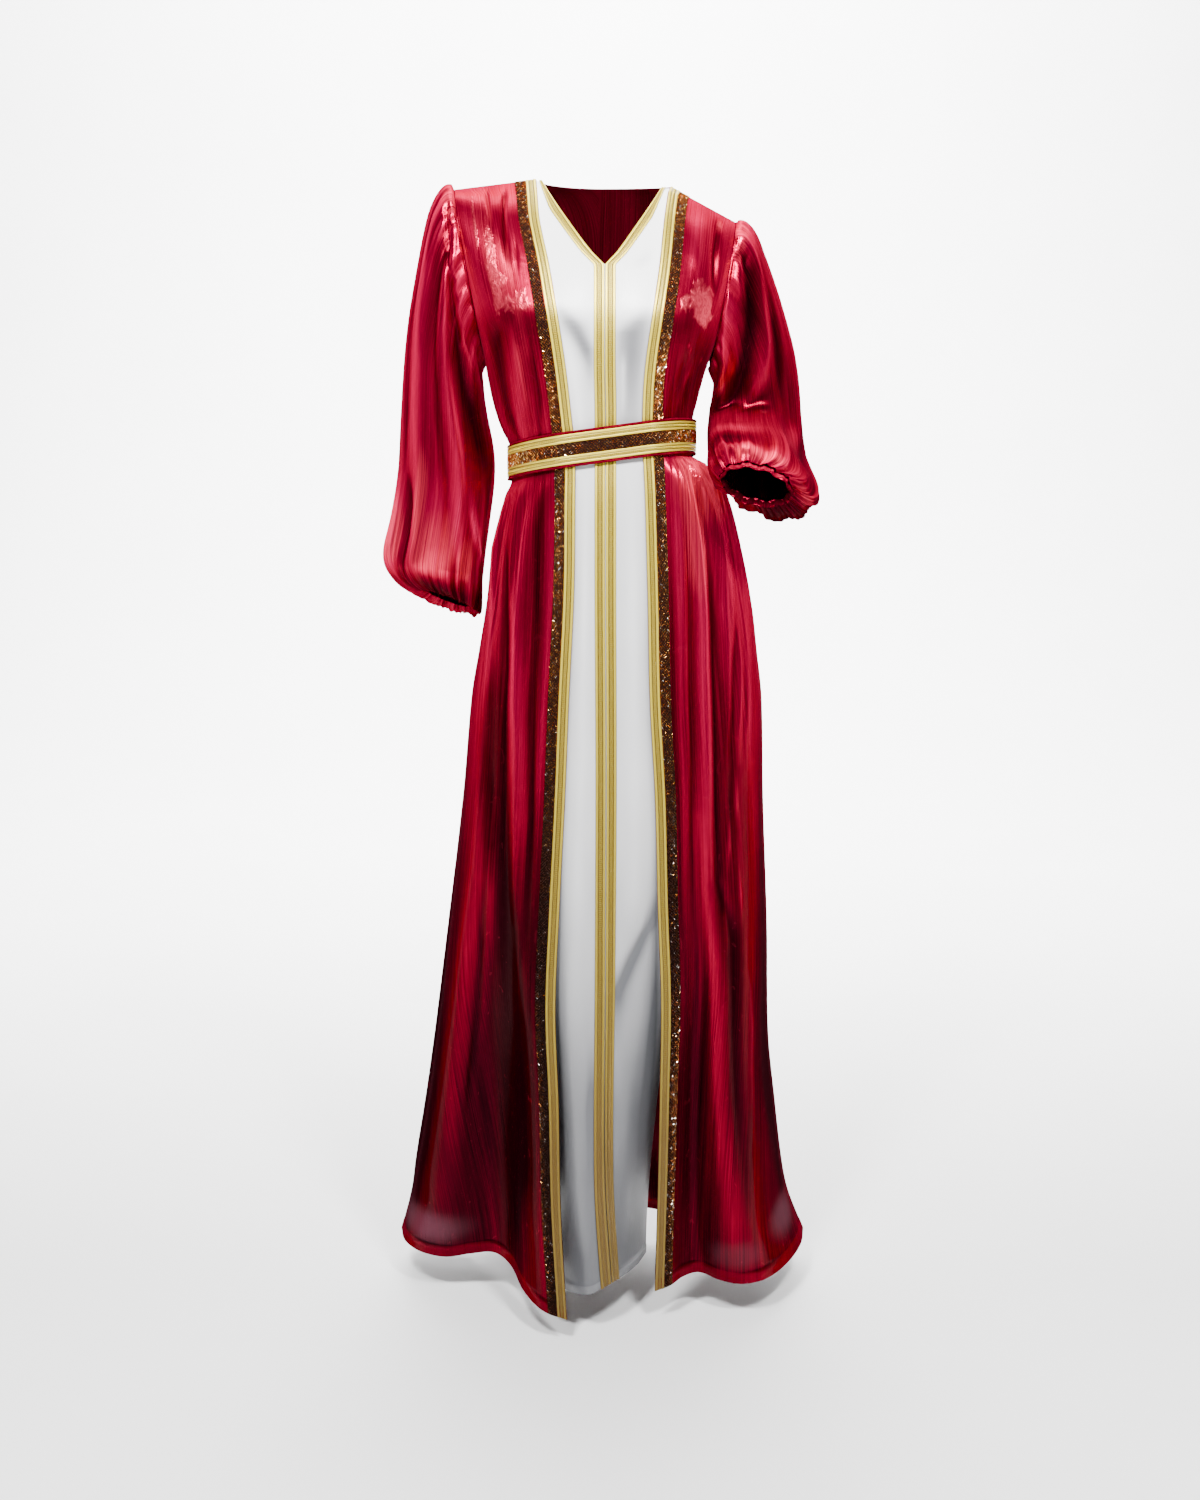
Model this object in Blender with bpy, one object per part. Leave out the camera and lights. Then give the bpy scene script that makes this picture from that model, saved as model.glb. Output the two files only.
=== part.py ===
"""Layered satin dress, worn and hollow: a red open robe over a white front panel, with its belt.

Metres, +Z up. The front faces -Y and the wearer's left is +X, so "right" in a name is the
wearer's right, at -X. The origin is where the wearer's shoulders hold the dress, between the
two side neck points and 20 mm below the higher one.
"""

import math

import bpy
import numpy as np

# Cloth, trims and the gaps between them
WALL = 0.002
PANEL_WALL = 0.0016
BAND_WALL = 0.0012
SEAM_GAP = 0.0004
ARMHOLE_GAP = 0.0008
LAY_GAP = 0.0004

# Widths of the sewn-on trims
GOLD_WIDTH = 0.014
SEQUIN_WIDTH = 0.014
BRAID_WIDTH = 0.014
PANEL_LEAST = 0.004

TRIM_MARGIN = 0.02
BRAID_MOST_SHARE = 0.5

# Mesh density
FRONT_SAMPLES = 81
BACK_SAMPLES = 161
SIDE_COLUMNS = 10
BACK_COLUMNS = 23
PANEL_COLUMNS = 4
SLEEVE_SIDES = 40
BELT_SIDES = 44
SHARP_ANGLE = 50

# Belt: a band that sits in a plane tilted up to the wearer's left and to the front
BELT_HEIGHT = 0.046
BELT_WALL = 0.002
BELT_LEVEL = -0.325
BELT_RISE_X = 0.1335
BELT_RISE_Y = -0.152
BELT_EDGE = 0.0035
BELT_BRAID = 0.0115
BELT_STANDOFF = 0.0022
BELT_OVER = (-0.300, -0.325, -0.350)
BELT_SAMPLE_STEP = 4
BELT_SPREAD_SIDES = 16
TILT_FLAT = 0.030
TILT_END = 0.150

# Heights of the levels that the pieces share
UNDERARM_LEVEL = -0.205
FOLD_TOP = -0.72
HEM_LEVEL = -1.468
SWING_TOP = -0.80
PANEL_HEM = -1.450
V_LEVEL = -0.085
LEAST_ROW = 0.008
LEVELS = [
    0.000, -0.020, -0.050, V_LEVEL, -0.122, -0.162, UNDERARM_LEVEL, -0.245, -0.278,
    -0.300, -0.325, -0.350, -0.372, -0.405, -0.455, -0.520, -0.600, -0.690, -0.790,
    -0.890, -0.990, -1.090, -1.190, -1.280, -1.370, -1.430, HEM_LEVEL,
]  # fmt: skip

# Neck, shoulders and armholes. The wearer's right shoulder is the higher one.
NECK = {"right": (-0.0876, 0.000, 0.0220), "left": (0.0860, 0.000, 0.0130)}
TIP = {"right": (-0.1930, 0.010, 0.0100), "left": (0.1710, 0.010, -0.0310)}
UNDERARM = {"right": (-0.1560, 0.010, -0.2050), "left": (0.1390, 0.010, -0.2150)}
ARMHOLE_HALF_DEPTH = 0.057
BACK_NECK_DEPTH = 0.062
BACK_NECK_Z = 0.013
BACK_NECK_SHARE = 0.42
BACK_UNDERARM_Y = 0.113
BACK_LEAN = 0.050
BACK_LEAN_POWER = 2.2
BACK_FLATNESS = 0.9
CHEST_ROUNDING = 0.6
SHOULDER_SEAM_LEAN = 0.2

# Fullness over the bust, from the cut
BUST_X = 0.088
BUST_Z = -0.155
BUST_SPREAD = 0.050
BUST_FULLNESS = 0.010

# Front edges of the robe: nominal height, then x and y of the right and of the left edge
EDGES = [
    # z, right x, right y, left x, left y
    (0.022, -0.0876, 0.000, 0.0860, 0.000),
    (0.000, -0.0850, -0.030, 0.0815, -0.028),
    (-0.030, -0.0815, -0.060, 0.0765, -0.060),
    (-0.085, -0.0690, -0.095, 0.0700, -0.094),
    (-0.150, -0.0575, -0.115, 0.0600, -0.115),
    (-0.215, -0.0475, -0.116, 0.0510, -0.116),
    (-0.280, -0.0420, -0.103, 0.0490, -0.103),
    (-0.325, -0.0370, -0.098, 0.0490, -0.098),
    (-0.400, -0.0370, -0.107, 0.0530, -0.107),
    (-0.500, -0.0385, -0.118, 0.0565, -0.116),
    (-0.640, -0.0455, -0.125, 0.0600, -0.120),
    (-0.770, -0.0510, -0.130, 0.0675, -0.125),
    (-0.920, -0.0590, -0.140, 0.0720, -0.128),
    (-1.050, -0.0645, -0.150, 0.0770, -0.131),
    (-1.180, -0.0605, -0.160, 0.0760, -0.137),
    (-1.320, -0.0580, -0.178, 0.0740, -0.142),
    (-1.468, -0.0500, -0.200, 0.0710, -0.146),
]

# Figure under the robe: nominal height, x of the right and left side seams, their y, back y
FIGURE = [
    # z, right x, left x, side y, back y
    (-0.205, -0.1560, 0.1390, 0.010, 0.113),
    (-0.240, -0.1510, 0.1310, 0.010, 0.109),
    (-0.275, -0.1420, 0.1215, 0.008, 0.099),
    (-0.300, -0.1230, 0.1175, 0.004, 0.089),
    (-0.350, -0.1230, 0.1175, 0.004, 0.089),
    (-0.370, -0.1310, 0.1440, 0.000, 0.098),
    (-0.400, -0.1390, 0.1640, 0.000, 0.107),
    (-0.450, -0.1490, 0.1830, 0.000, 0.118),
    (-0.530, -0.1580, 0.2000, 0.000, 0.130),
    (-0.600, -0.1700, 0.2090, 0.000, 0.134),
    (-0.660, -0.1805, 0.2160, 0.000, 0.134),
    (-0.800, -0.1940, 0.2205, 0.000, 0.130),
    (-0.980, -0.2170, 0.2290, 0.000, 0.124),
    (-1.150, -0.2400, 0.2340, 0.000, 0.118),
    (-1.250, -0.2550, 0.2450, 0.004, 0.116),
    (-1.345, -0.2710, 0.2570, 0.010, 0.114),
    (-1.400, -0.2790, 0.2680, 0.016, 0.113),
    (-1.468, -0.2960, 0.2930, 0.027, 0.112),
]

# The hem in plan, with its height: one row for each ridge, valley or turn of the cloth
HEM_FRONT = {
    "right": [
        # x, y, z
        (-0.0500, -0.200, -1.484),
        (-0.0800, -0.186, -1.480),
        (-0.1100, -0.142, -1.470),
        (-0.1320, -0.088, -1.459),
        (-0.1560, -0.064, -1.453),
        (-0.1900, -0.062, -1.456),
        (-0.2250, -0.062, -1.461),
        (-0.2620, -0.044, -1.462),
        (-0.2870, -0.012, -1.461),
        (-0.2960, 0.027, -1.460),
    ],
    "left": [
        (0.0710, -0.146, -1.470),
        (0.0920, -0.136, -1.467),
        (0.1120, -0.114, -1.464),
        (0.1350, -0.102, -1.464),
        (0.1630, -0.122, -1.466),
        (0.1930, -0.133, -1.466),
        (0.2260, -0.121, -1.465),
        (0.2600, -0.076, -1.464),
        (0.2850, -0.020, -1.462),
        (0.2930, 0.027, -1.460),
    ],
}
HEM_BACK = [
    # x, y, z
    (-0.2960, 0.027, -1.460),
    (-0.2830, 0.072, -1.460),
    (-0.2500, 0.101, -1.461),
    (-0.2080, 0.080, -1.462),
    (-0.1650, 0.094, -1.464),
    (-0.1200, 0.124, -1.466),
    (-0.0750, 0.104, -1.466),
    (-0.0300, 0.116, -1.467),
    (0.0200, 0.132, -1.468),
    (0.0650, 0.108, -1.467),
    (0.1050, 0.096, -1.466),
    (0.1500, 0.116, -1.466),
    (0.2050, 0.086, -1.463),
    (0.2450, 0.098, -1.461),
    (0.2790, 0.070, -1.460),
    (0.2930, 0.027, -1.460),
]

# Gathers that the belt draws in: they fade out below and above it
GATHER_DEPTH = 0.0035
GATHERS_FRONT = 4
GATHERS_BACK = 8
GATHER_NEAR = 0.030
GATHER_FULL = 0.070
GATHER_END_BELOW = 0.420
GATHER_END_ABOVE = 0.120
SEAM_FADE = 0.5

# White panel: depth of its centre line, and its hem in plan from the right to the left
PANEL_CENTRE = [
    # z, x, y
    (0.022, 0.000, 0.000),
    (0.000, 0.000, -0.028),
    (-0.040, 0.000, -0.060),
    (-0.086, 0.001, -0.086),
    (-0.150, 0.001, -0.108),
    (-0.215, 0.001, -0.112),
    (-0.280, 0.002, -0.101),
    (-0.325, 0.002, -0.095),
    (-0.400, 0.002, -0.108),
    (-0.500, 0.002, -0.120),
    (-0.740, 0.003, -0.134),
    (-1.000, 0.002, -0.150),
    (-1.290, 0.001, -0.166),
    (-1.450, 0.010, -0.160),
]
V_EDGE_HALF = [
    # z, distance of the neck edge from the centre line
    (0.022, 0.0800),
    (-0.003, 0.0640),
    (-0.045, 0.0340),
    (-0.070, 0.0150),
    (-0.085, 0.0000),
]
PANEL_HEM_PLAN = {
    "right": [
        # distance from the centre line, x, y
        (0.000, 0.010, -0.160),
        (0.014, -0.004, -0.171),
        (0.030, -0.019, -0.179),
        (0.052, -0.040, -0.166),
        (0.085, -0.060, -0.136),
        (0.110, -0.072, -0.112),
    ],
    "left": [
        (0.000, 0.010, -0.160),
        (0.014, 0.021, -0.146),
        (0.045, 0.039, -0.118),
        (0.080, 0.056, -0.082),
        (0.120, 0.071, -0.044),
    ],
}

# Sleeves: one row for each ring, with its outer and inner points, half its depth and the
# angle in degrees by which its front is raised. The armhole comes before the first ring.
SLEEVE_RINGS = {
    "right": [
        # outer x, y, z, inner x, y, z, half depth, pitch
        (-0.2020, 0.011, 0.0170, -0.1585, 0.011, -0.2140, 0.060, 0),
        (-0.2190, 0.012, -0.0060, -0.1610, 0.013, -0.2220, 0.063, 0),
        (-0.2310, 0.013, -0.0400, -0.1615, 0.015, -0.2300, 0.065, 0),
        (-0.2420, 0.015, -0.0870, -0.1605, 0.018, -0.2400, 0.066, 0),
        (-0.2530, 0.018, -0.1380, -0.1590, 0.022, -0.2520, 0.067, 0),
        (-0.2600, 0.021, -0.1900, -0.1580, 0.026, -0.2700, 0.068, 0),
        (-0.2640, 0.024, -0.2450, -0.1545, 0.030, -0.2950, 0.069, 0),
        (-0.2680, 0.027, -0.3050, -0.1470, 0.034, -0.3250, 0.070, 0),
        (-0.2710, 0.030, -0.3650, -0.1460, 0.038, -0.3680, 0.071, 0),
        (-0.2790, 0.030, -0.4180, -0.1550, 0.040, -0.4200, 0.071, 0),
        (-0.2880, 0.030, -0.4550, -0.1620, 0.040, -0.4700, 0.070, 0),
        (-0.2900, 0.030, -0.4800, -0.1650, 0.038, -0.5080, 0.066, 8),
        (-0.2790, 0.028, -0.5030, -0.1690, 0.034, -0.5360, 0.058, 16),
        (-0.2580, 0.025, -0.5170, -0.1730, 0.030, -0.5480, 0.044, 22),
        (-0.2370, 0.022, -0.5050, -0.1810, 0.026, -0.5260, 0.028, 18),
    ],
    "left": [
        (0.1830, 0.012, -0.0300, 0.1420, 0.012, -0.2240, 0.059, 0),
        (0.1960, 0.014, -0.0460, 0.1460, 0.016, -0.2340, 0.062, 0),
        (0.2090, 0.018, -0.0740, 0.1470, 0.022, -0.2440, 0.064, 3),
        (0.2230, 0.025, -0.1140, 0.1460, 0.030, -0.2560, 0.065, 6),
        (0.2370, 0.034, -0.1580, 0.1430, 0.036, -0.2690, 0.066, 10),
        (0.2500, 0.044, -0.2050, 0.1400, 0.038, -0.2840, 0.066, 16),
        (0.2590, 0.052, -0.2560, 0.1380, 0.034, -0.2960, 0.064, 24),
        (0.2630, 0.044, -0.3060, 0.1380, 0.010, -0.3040, 0.060, 42),
        (0.2640, 0.010, -0.3330, 0.1370, -0.022, -0.3120, 0.052, 60),
        (0.2660, -0.034, -0.3500, 0.1340, -0.056, -0.3180, 0.049, 70),
        (0.2710, -0.074, -0.3660, 0.1340, -0.090, -0.3240, 0.050, 72),
        (0.2700, -0.106, -0.3780, 0.1360, -0.114, -0.3300, 0.048, 72),
        (0.2600, -0.132, -0.3790, 0.1400, -0.130, -0.3370, 0.040, 72),
        (0.2380, -0.148, -0.3640, 0.1480, -0.141, -0.3460, 0.027, 72),
    ],
}

# Cuffs: elastic bands just inside the sleeve's last ring
CUFF_BACK = 0.003
CUFF_LENGTH = {"right": 0.016, "left": 0.015}
CUFF_FLARE = {"right": 0.000, "left": 0.002}
CUFF_INSET = {"right": LAY_GAP, "left": WALL + 4 * LAY_GAP}
CUFF_AXIS = {"right": (-0.25, -0.25, -0.93), "left": (-0.13, -0.945, -0.305)}

# Waves round a sleeve: gathers at its head and its cuff, long soft folds between them
HEAD_GATHERS = 10
CUFF_GATHERS = 10
HEAD_DEPTH = 0.0028
HEAD_RAMP = (0.0, 0.07, 0.12, 0.45)
HEAD_TOP_POWER = 0.7
CUFF_DEPTH = 0.0030
CUFF_RAMP = (0.66, 0.90, 0.93, 1.0)
CUFF_DROP = 0.5
LONG_FOLDS = 5
LONG_FOLD_DEPTH = 0.0045
LONG_FOLD_RAMP = (0.15, 0.5, 0.75, 0.95)
LONG_FOLD_TWIST = 2.0

# A sleeve stays clear of the robe between these heights, fully so from the fifth ring on
SLEEVE_NEAR = (-0.70, -0.04)
SLEEVE_CLEAR = 0.004
CLEAR_RINGS = (1, 5)

# Finish
RED = (0.52, 0.010, 0.045)
WHITE = (0.82, 0.83, 0.86)
GOLD = (0.78, 0.60, 0.22)
COPPER = (0.30, 0.13, 0.07)
FINISH = {
    # name: colour, roughness, metallic
    "red_satin": (RED, 0.34, 0.0),
    "white_satin": (WHITE, 0.38, 0.0),
    "gold_braid": (GOLD, 0.42, 0.7),
    "copper_sequin": (COPPER, 0.25, 0.8),
}
SIDES = ("right", "left")
SIGN = {"right": -1.0, "left": 1.0}
FRONTWARD, BACKWARD = -1.0, 1.0
ACROSS_X, ACROSS_Y = np.array([1.0, 0.0, 0.0]), np.array([0.0, 1.0, 0.0])
ACROSS_BELT = np.array([-BELT_RISE_X, -BELT_RISE_Y, 1.0])
ACROSS_BELT /= np.linalg.norm(ACROSS_BELT)


def smooth(low, high, value):
    """0 below low, 1 above high and an S-curve between them."""
    share = np.clip((np.asarray(value, float) - low) / (high - low), 0.0, 1.0)
    return share * share * (3.0 - 2.0 * share)


def curve(rows, at, column=0):
    """The rows' other columns at a value of one column, on a Catmull-Rom curve through them."""
    table = np.array(sorted(rows, key=lambda row: row[column]), float)
    keys = table[:, column]
    at = float(np.clip(at, keys[0], keys[-1]))
    i = int(np.clip(np.searchsorted(keys, at) - 1, 0, len(keys) - 2))
    return hermite(table, keys, i, at)


def hermite(table, keys, i, at):
    """A cubic from row i to row i + 1, with each row's slope taken from its neighbours."""
    step = keys[i + 1] - keys[i]
    share = (at - keys[i]) / step

    def slope(k):
        if k == 0 or k == len(keys) - 1:
            other = 1 if k == 0 else k - 1
            return (table[other] - table[k]) / (keys[other] - keys[k])
        return (table[k + 1] - table[k - 1]) / (keys[k + 1] - keys[k - 1])

    a, b = table[i], table[i + 1]
    s2, s3 = share * share, share**3
    return (
        a * (2 * s3 - 3 * s2 + 1)
        + slope(i) * step * (s3 - 2 * s2 + share)
        + b * (3 * s2 - 2 * s3)
        + slope(i + 1) * step * (s3 - s2)
    )


def along(points, shares):
    """Points at shares of the length of a smooth curve through the given points."""
    points = np.asarray(points, float)
    keys = np.concatenate([[0.0], np.cumsum(np.linalg.norm(np.diff(points, axis=0), axis=1))])
    rows = np.column_stack([keys / keys[-1], points])
    return np.array([curve(rows, share)[1:] for share in shares])


def resample(points, distances):
    """Points at distances along a polyline."""
    keys = np.concatenate([[0.0], np.cumsum(np.linalg.norm(np.diff(points, axis=0), axis=1))])
    return np.column_stack([np.interp(distances, keys, points[:, k]) for k in range(3)])


def tilted(points):
    """Shifts the heights near the waist on to the belt's tilted plane."""
    away = np.abs(points[:, 2] - BELT_LEVEL)
    weight = 1.0 - smooth(TILT_FLAT, TILT_END, away)
    moved = points.copy()
    moved[:, 2] += weight * (BELT_RISE_X * points[:, 0] + BELT_RISE_Y * points[:, 1])
    return moved


def gather_weight(z):
    """How deep the belt's gathers are at a height."""
    if z < BELT_LEVEL:
        away, end = BELT_LEVEL - z, GATHER_END_BELOW
    else:
        away, end = z - BELT_LEVEL, GATHER_END_ABOVE
    return float(smooth(GATHER_NEAR, GATHER_FULL, away) * (1.0 - smooth(GATHER_FULL, end, away)))


def fold_weight(level):
    """How much of the hem's folded shape a level has: none above the thighs, all at the hem."""
    return float(smooth(0.0, 1.0, (FOLD_TOP - level) / (FOLD_TOP - HEM_LEVEL)))


def fitted(hem, start, end, level):
    """The hem's line moved to a level and stretched to that level's own two ends."""
    share = (hem[:, 0] - hem[0, 0]) / (hem[-1, 0] - hem[0, 0])
    return np.column_stack(
        [
            start[0] + (end[0] - start[0]) * share,
            hem[:, 1] + (start[1] - hem[0, 1]) * (1 - share) + (end[1] - hem[-1, 1]) * share,
            hem[:, 2] + level - HEM_LEVEL,
        ]
    )


def armhole(side, turn):
    """A point on the armhole: 0 is the shoulder tip, 0.5 the underarm, and the front comes first."""
    tip, under = np.array(TIP[side]), np.array(UNDERARM[side])
    angle = 2.0 * math.pi * turn
    depth = np.array([0.0, -ARMHOLE_HALF_DEPTH, 0.0])
    return (tip + under) / 2 + math.cos(angle) * (tip - under) / 2 + math.sin(angle) * depth


def armhole_normal(side):
    """Unit vector square to the armhole's plane, away from the body."""
    rise = np.array(TIP[side]) - np.array(UNDERARM[side])
    normal = np.cross(rise, [0.0, 1.0, 0.0])
    normal /= np.linalg.norm(normal)
    return normal if normal[0] * SIGN[side] > 0 else -normal


def edge_point(side, z):
    """A front edge's point at a nominal height."""
    row = curve(EDGES, z)
    return np.array([row[1], row[2], z] if side == "right" else [row[3], row[4], z])


def side_seam(side, z):
    """A side seam's point at a nominal height."""
    row = curve(FIGURE, z)
    return np.array([row[1] if side == "right" else row[2], row[3], z])


def front_row(side, level, samples=FRONT_SAMPLES):
    """The front panel's outer line at a level, from its front edge to the armhole or side seam."""
    t = np.linspace(0.0, 1.0, samples)
    if level > UNDERARM_LEVEL:
        top = NECK[side][2]
        share = (top - level) / (top - UNDERARM_LEVEL)
        outer = armhole(side, share / 2)
        roundness = float(smooth(0.0, 1.0, share)) ** CHEST_ROUNDING
    else:
        outer = side_seam(side, level)
        roundness = 1.0
    edge = np.array(NECK[side]) if level >= NECK[side][2] else edge_point(side, level)
    across = (1 - roundness) * t + roundness * np.sin(t * math.pi / 2)
    depth = (1 - roundness) * (1 - t) + roundness * np.cos(t * math.pi / 2)
    points = np.column_stack(
        [
            edge[0] + (outer[0] - edge[0]) * across,
            outer[1] + (edge[1] - outer[1]) * depth,
            edge[2] + (outer[2] - edge[2]) * t,
        ]
    )
    full = np.exp(
        -((np.abs(points[:, 0]) - BUST_X) ** 2 + (points[:, 2] - BUST_Z) ** 2) / BUST_SPREAD**2
    )
    points[:, 1] -= BUST_FULLNESS * full * np.cos(t * math.pi / 2) ** SEAM_FADE
    wave = np.sin(2 * math.pi * GATHERS_FRONT * t) * np.sin(math.pi * t) ** SEAM_FADE
    outward = np.column_stack([SIGN[side] * np.sin(t * math.pi / 2), -np.cos(t * math.pi / 2)])
    points[:, :2] += outward * (GATHER_DEPTH * gather_weight(level) * wave)[:, None]
    weight = fold_weight(level)
    if weight > 0.0:
        hem = along(HEM_FRONT[side], t)
        points = points * (1 - weight) + fitted(hem, points[0], points[-1], level) * weight
    return tilted(points)


def back_row(level, samples=BACK_SAMPLES):
    """The back's outer line at a level, from the wearer's right side to the left."""
    u = np.linspace(-1.0, 1.0, samples)
    turn = u * math.pi / 2
    top = NECK["right"][2]
    if level > UNDERARM_LEVEL:
        share = (top - level) / (top - UNDERARM_LEVEL)
        ends = {side: armhole(side, 1.0 - share / 2) for side in SIDES}
        centre_z = BACK_NECK_Z + (UNDERARM_LEVEL - BACK_NECK_Z) * share
        centre_y = BACK_UNDERARM_Y - BACK_LEAN * (1.0 - share) ** BACK_LEAN_POWER
    else:
        share = 1.0
        ends = {side: side_seam(side, level) for side in SIDES}
        centre_z = level
        centre_y = curve(FIGURE, level)[4]
    end = np.where(u[:, None] < 0, ends["right"], ends["left"])
    out, back = np.abs(np.sin(turn)), np.cos(turn)
    plain = np.column_stack(
        [
            end[:, 0] * out,
            end[:, 1] + (centre_y - end[:, 1]) * back**BACK_FLATNESS,
            centre_z + (end[:, 2] - centre_z) * out**2,
        ]
    )
    if share < 1.0:
        weight = 1.0 - float(smooth(0.0, 0.5, share))
        tip = np.where(u[:, None] < 0, TIP["right"], TIP["left"])
        line = shoulder_line(u) + (end - tip) * out[:, None] ** 2
        plain = plain * (1 - weight) + line * weight
    wave = np.cos(math.pi * GATHERS_BACK * u) * np.cos(turn) ** SEAM_FADE
    outward = np.column_stack([np.sin(turn), np.cos(turn)])
    plain[:, :2] += outward * (GATHER_DEPTH * gather_weight(level) * wave)[:, None]
    weight = fold_weight(level)
    if weight > 0.0:
        hem = along(HEM_BACK, (u + 1) / 2)
        plain = plain * (1 - weight) + fitted(hem, plain[0], plain[-1], level) * weight
    return tilted(plain)


def shoulder_line(u):
    """Both shoulder seams and the back neck between them, for u from -1 to 1."""
    points = np.zeros((len(u), 3))
    for k, value in enumerate(u):
        side = "right" if value < 0 else "left"
        neck, tip = np.array(NECK[side]), np.array(TIP[side])
        size = abs(value)
        if size >= BACK_NECK_SHARE:
            points[k] = neck + (tip - neck) * (size - BACK_NECK_SHARE) / (1 - BACK_NECK_SHARE)
            continue
        angle = size / BACK_NECK_SHARE * math.pi / 2
        points[k] = (
            neck[0] * math.sin(angle),
            BACK_NECK_DEPTH * math.cos(angle),
            BACK_NECK_Z + (neck[2] - BACK_NECK_Z) * (1 - math.cos(angle)),
        )
    return points


def grid_normals(grid, facing):
    """Unit normals of a grid of points, on the side where Y has the sign of facing."""
    rows = np.gradient(grid, axis=0)
    columns = np.gradient(grid, axis=1)
    normal = np.cross(rows, columns)
    normal /= np.linalg.norm(normal, axis=2, keepdims=True)
    return normal if normal[:, :, 1].mean() * facing > 0 else -normal


def in_plane(directions, plane_normal):
    """Directions with what points across a plane taken out, at unit length."""
    flat = directions - np.outer(directions @ plane_normal, plane_normal)
    return flat / np.linalg.norm(flat, axis=1, keepdims=True)


def grid_faces(rows, columns, closed=False):
    """Triangles of a grid numbered row by row, all split along the same diagonal."""
    faces = []
    for i in range(rows - 1):
        for j in range(columns if closed else columns - 1):
            k = (j + 1) % columns
            a, b = i * columns + j, i * columns + k
            faces += [(a, b, b + columns), (a, b + columns, a + columns)]
    return faces


def wall(name, outer, inner, faces, finish):
    """One closed solid between two sheets that share their faces, with a rim round the edges."""
    count = len(outer)
    used = dict.fromkeys(
        (a, b) for face in faces for a, b in zip(face, face[1:] + face[:1])
    )
    rim = [(b, a, a + count, b + count) for a, b in used if (b, a) not in used]
    back = [tuple(index + count for index in reversed(face)) for face in faces]
    mesh = bpy.data.meshes.new(name)
    points = np.vstack([outer, inner])
    mesh.from_pydata([tuple(map(float, point)) for point in points], [], faces + back + rim)
    mesh.validate()
    if signed_volume(mesh) < 0:
        mesh.flip_normals()
    mesh.shade_smooth()
    mesh.set_sharp_from_angle(angle=math.radians(SHARP_ANGLE))
    mesh.materials.append(material(finish))
    obj = bpy.data.objects.new(name, mesh)
    bpy.context.scene.collection.objects.link(obj)
    return obj


def signed_volume(mesh):
    """Volume of a closed mesh, below zero where its faces point in."""
    mesh.calc_loop_triangles()
    total = 0.0
    for triangle in mesh.loop_triangles:
        a, b, c = (mesh.vertices[index].co for index in triangle.vertices)
        total += a.dot(b.cross(c)) / 6.0
    return total


def material(name):
    """The Principled material of a finish, made once."""
    found = bpy.data.materials.get(name)
    if found:
        return found
    colour, roughness, metallic = FINISH[name]
    made = bpy.data.materials.new(name)
    made.use_nodes = True
    shader = made.node_tree.nodes["Principled BSDF"]
    shader.inputs["Base Color"].default_value = (*colour, 1.0)
    shader.inputs["Roughness"].default_value = roughness
    shader.inputs["Metallic"].default_value = metallic
    return made


def front_levels(side):
    """The front panel's row heights, from its side neck point down."""
    return [NECK[side][2]] + [z for z in LEVELS if z < NECK[side][2] - LEAST_ROW]


def front_grid(side, heights):
    """Outer points of a front panel: columns at the trims' edges, then even ones to the side."""
    rows = []
    for level in heights:
        line = front_row(side, level)
        length = np.linalg.norm(np.diff(line, axis=0), axis=1).sum()
        near = [0.0, GOLD_WIDTH, GOLD_WIDTH + SEQUIN_WIDTH]
        rest = np.linspace(near[-1], length - SEAM_GAP / 2, SIDE_COLUMNS)[1:]
        rows.append(resample(line, np.concatenate([near, rest])))
    grid = np.array(rows)
    grid[0, :, 1] -= SEAM_GAP / 2
    outward = grid_normals(grid, FRONTWARD)
    outward[0] = in_shoulder_seam(outward[0])
    return grid, outward


def in_shoulder_seam(directions):
    """The wall's directions along the shoulder seam, upright so that front and back stay apart."""
    return in_plane(directions * [SHOULDER_SEAM_LEAN, 0.0, 1.0], ACROSS_Y)


def in_seams(directions, side, rows_with_armhole, column):
    """Turns the wall's direction on an edge column into the seam's plane."""
    turned = directions.copy()
    turned[:rows_with_armhole, column] = in_plane(
        directions[:rows_with_armhole, column], armhole_normal(side)
    )
    turned[rows_with_armhole:, column] = in_plane(
        directions[rows_with_armhole:, column], ACROSS_Y
    )
    return turned


def bodice_and_skirt(name, grid, inward, heights):
    """A panel of the robe in two walls that meet at the waist seam, under the belt."""
    waist = heights.index(BELT_LEVEL)
    for part, rows, seam in (("bodice", slice(0, waist + 1), -1), ("skirt", slice(waist, None), 0)):
        points, directions = grid[rows].copy(), inward[rows].copy()
        points[seam, :, 2] += SEAM_GAP / 2 if part == "bodice" else -SEAM_GAP / 2
        directions[seam] = in_plane(directions[seam], ACROSS_BELT)
        wall(
            f"{part}_{name}",
            points.reshape(-1, 3),
            (points + directions * WALL).reshape(-1, 3),
            grid_faces(*points.shape[:2]),
            "red_satin",
        )


def robe_front(side):
    """A front of the robe, and the outer grid and normals that the trims lie on."""
    heights = front_levels(side)
    grid, outward = front_grid(side, heights)
    rows_with_armhole = sum(1 for z in heights if z > UNDERARM_LEVEL)
    inward = -in_seams(outward, side, rows_with_armhole, -1)
    bodice_and_skirt(f"front_{side}", grid, inward, heights)
    return grid, outward


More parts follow.
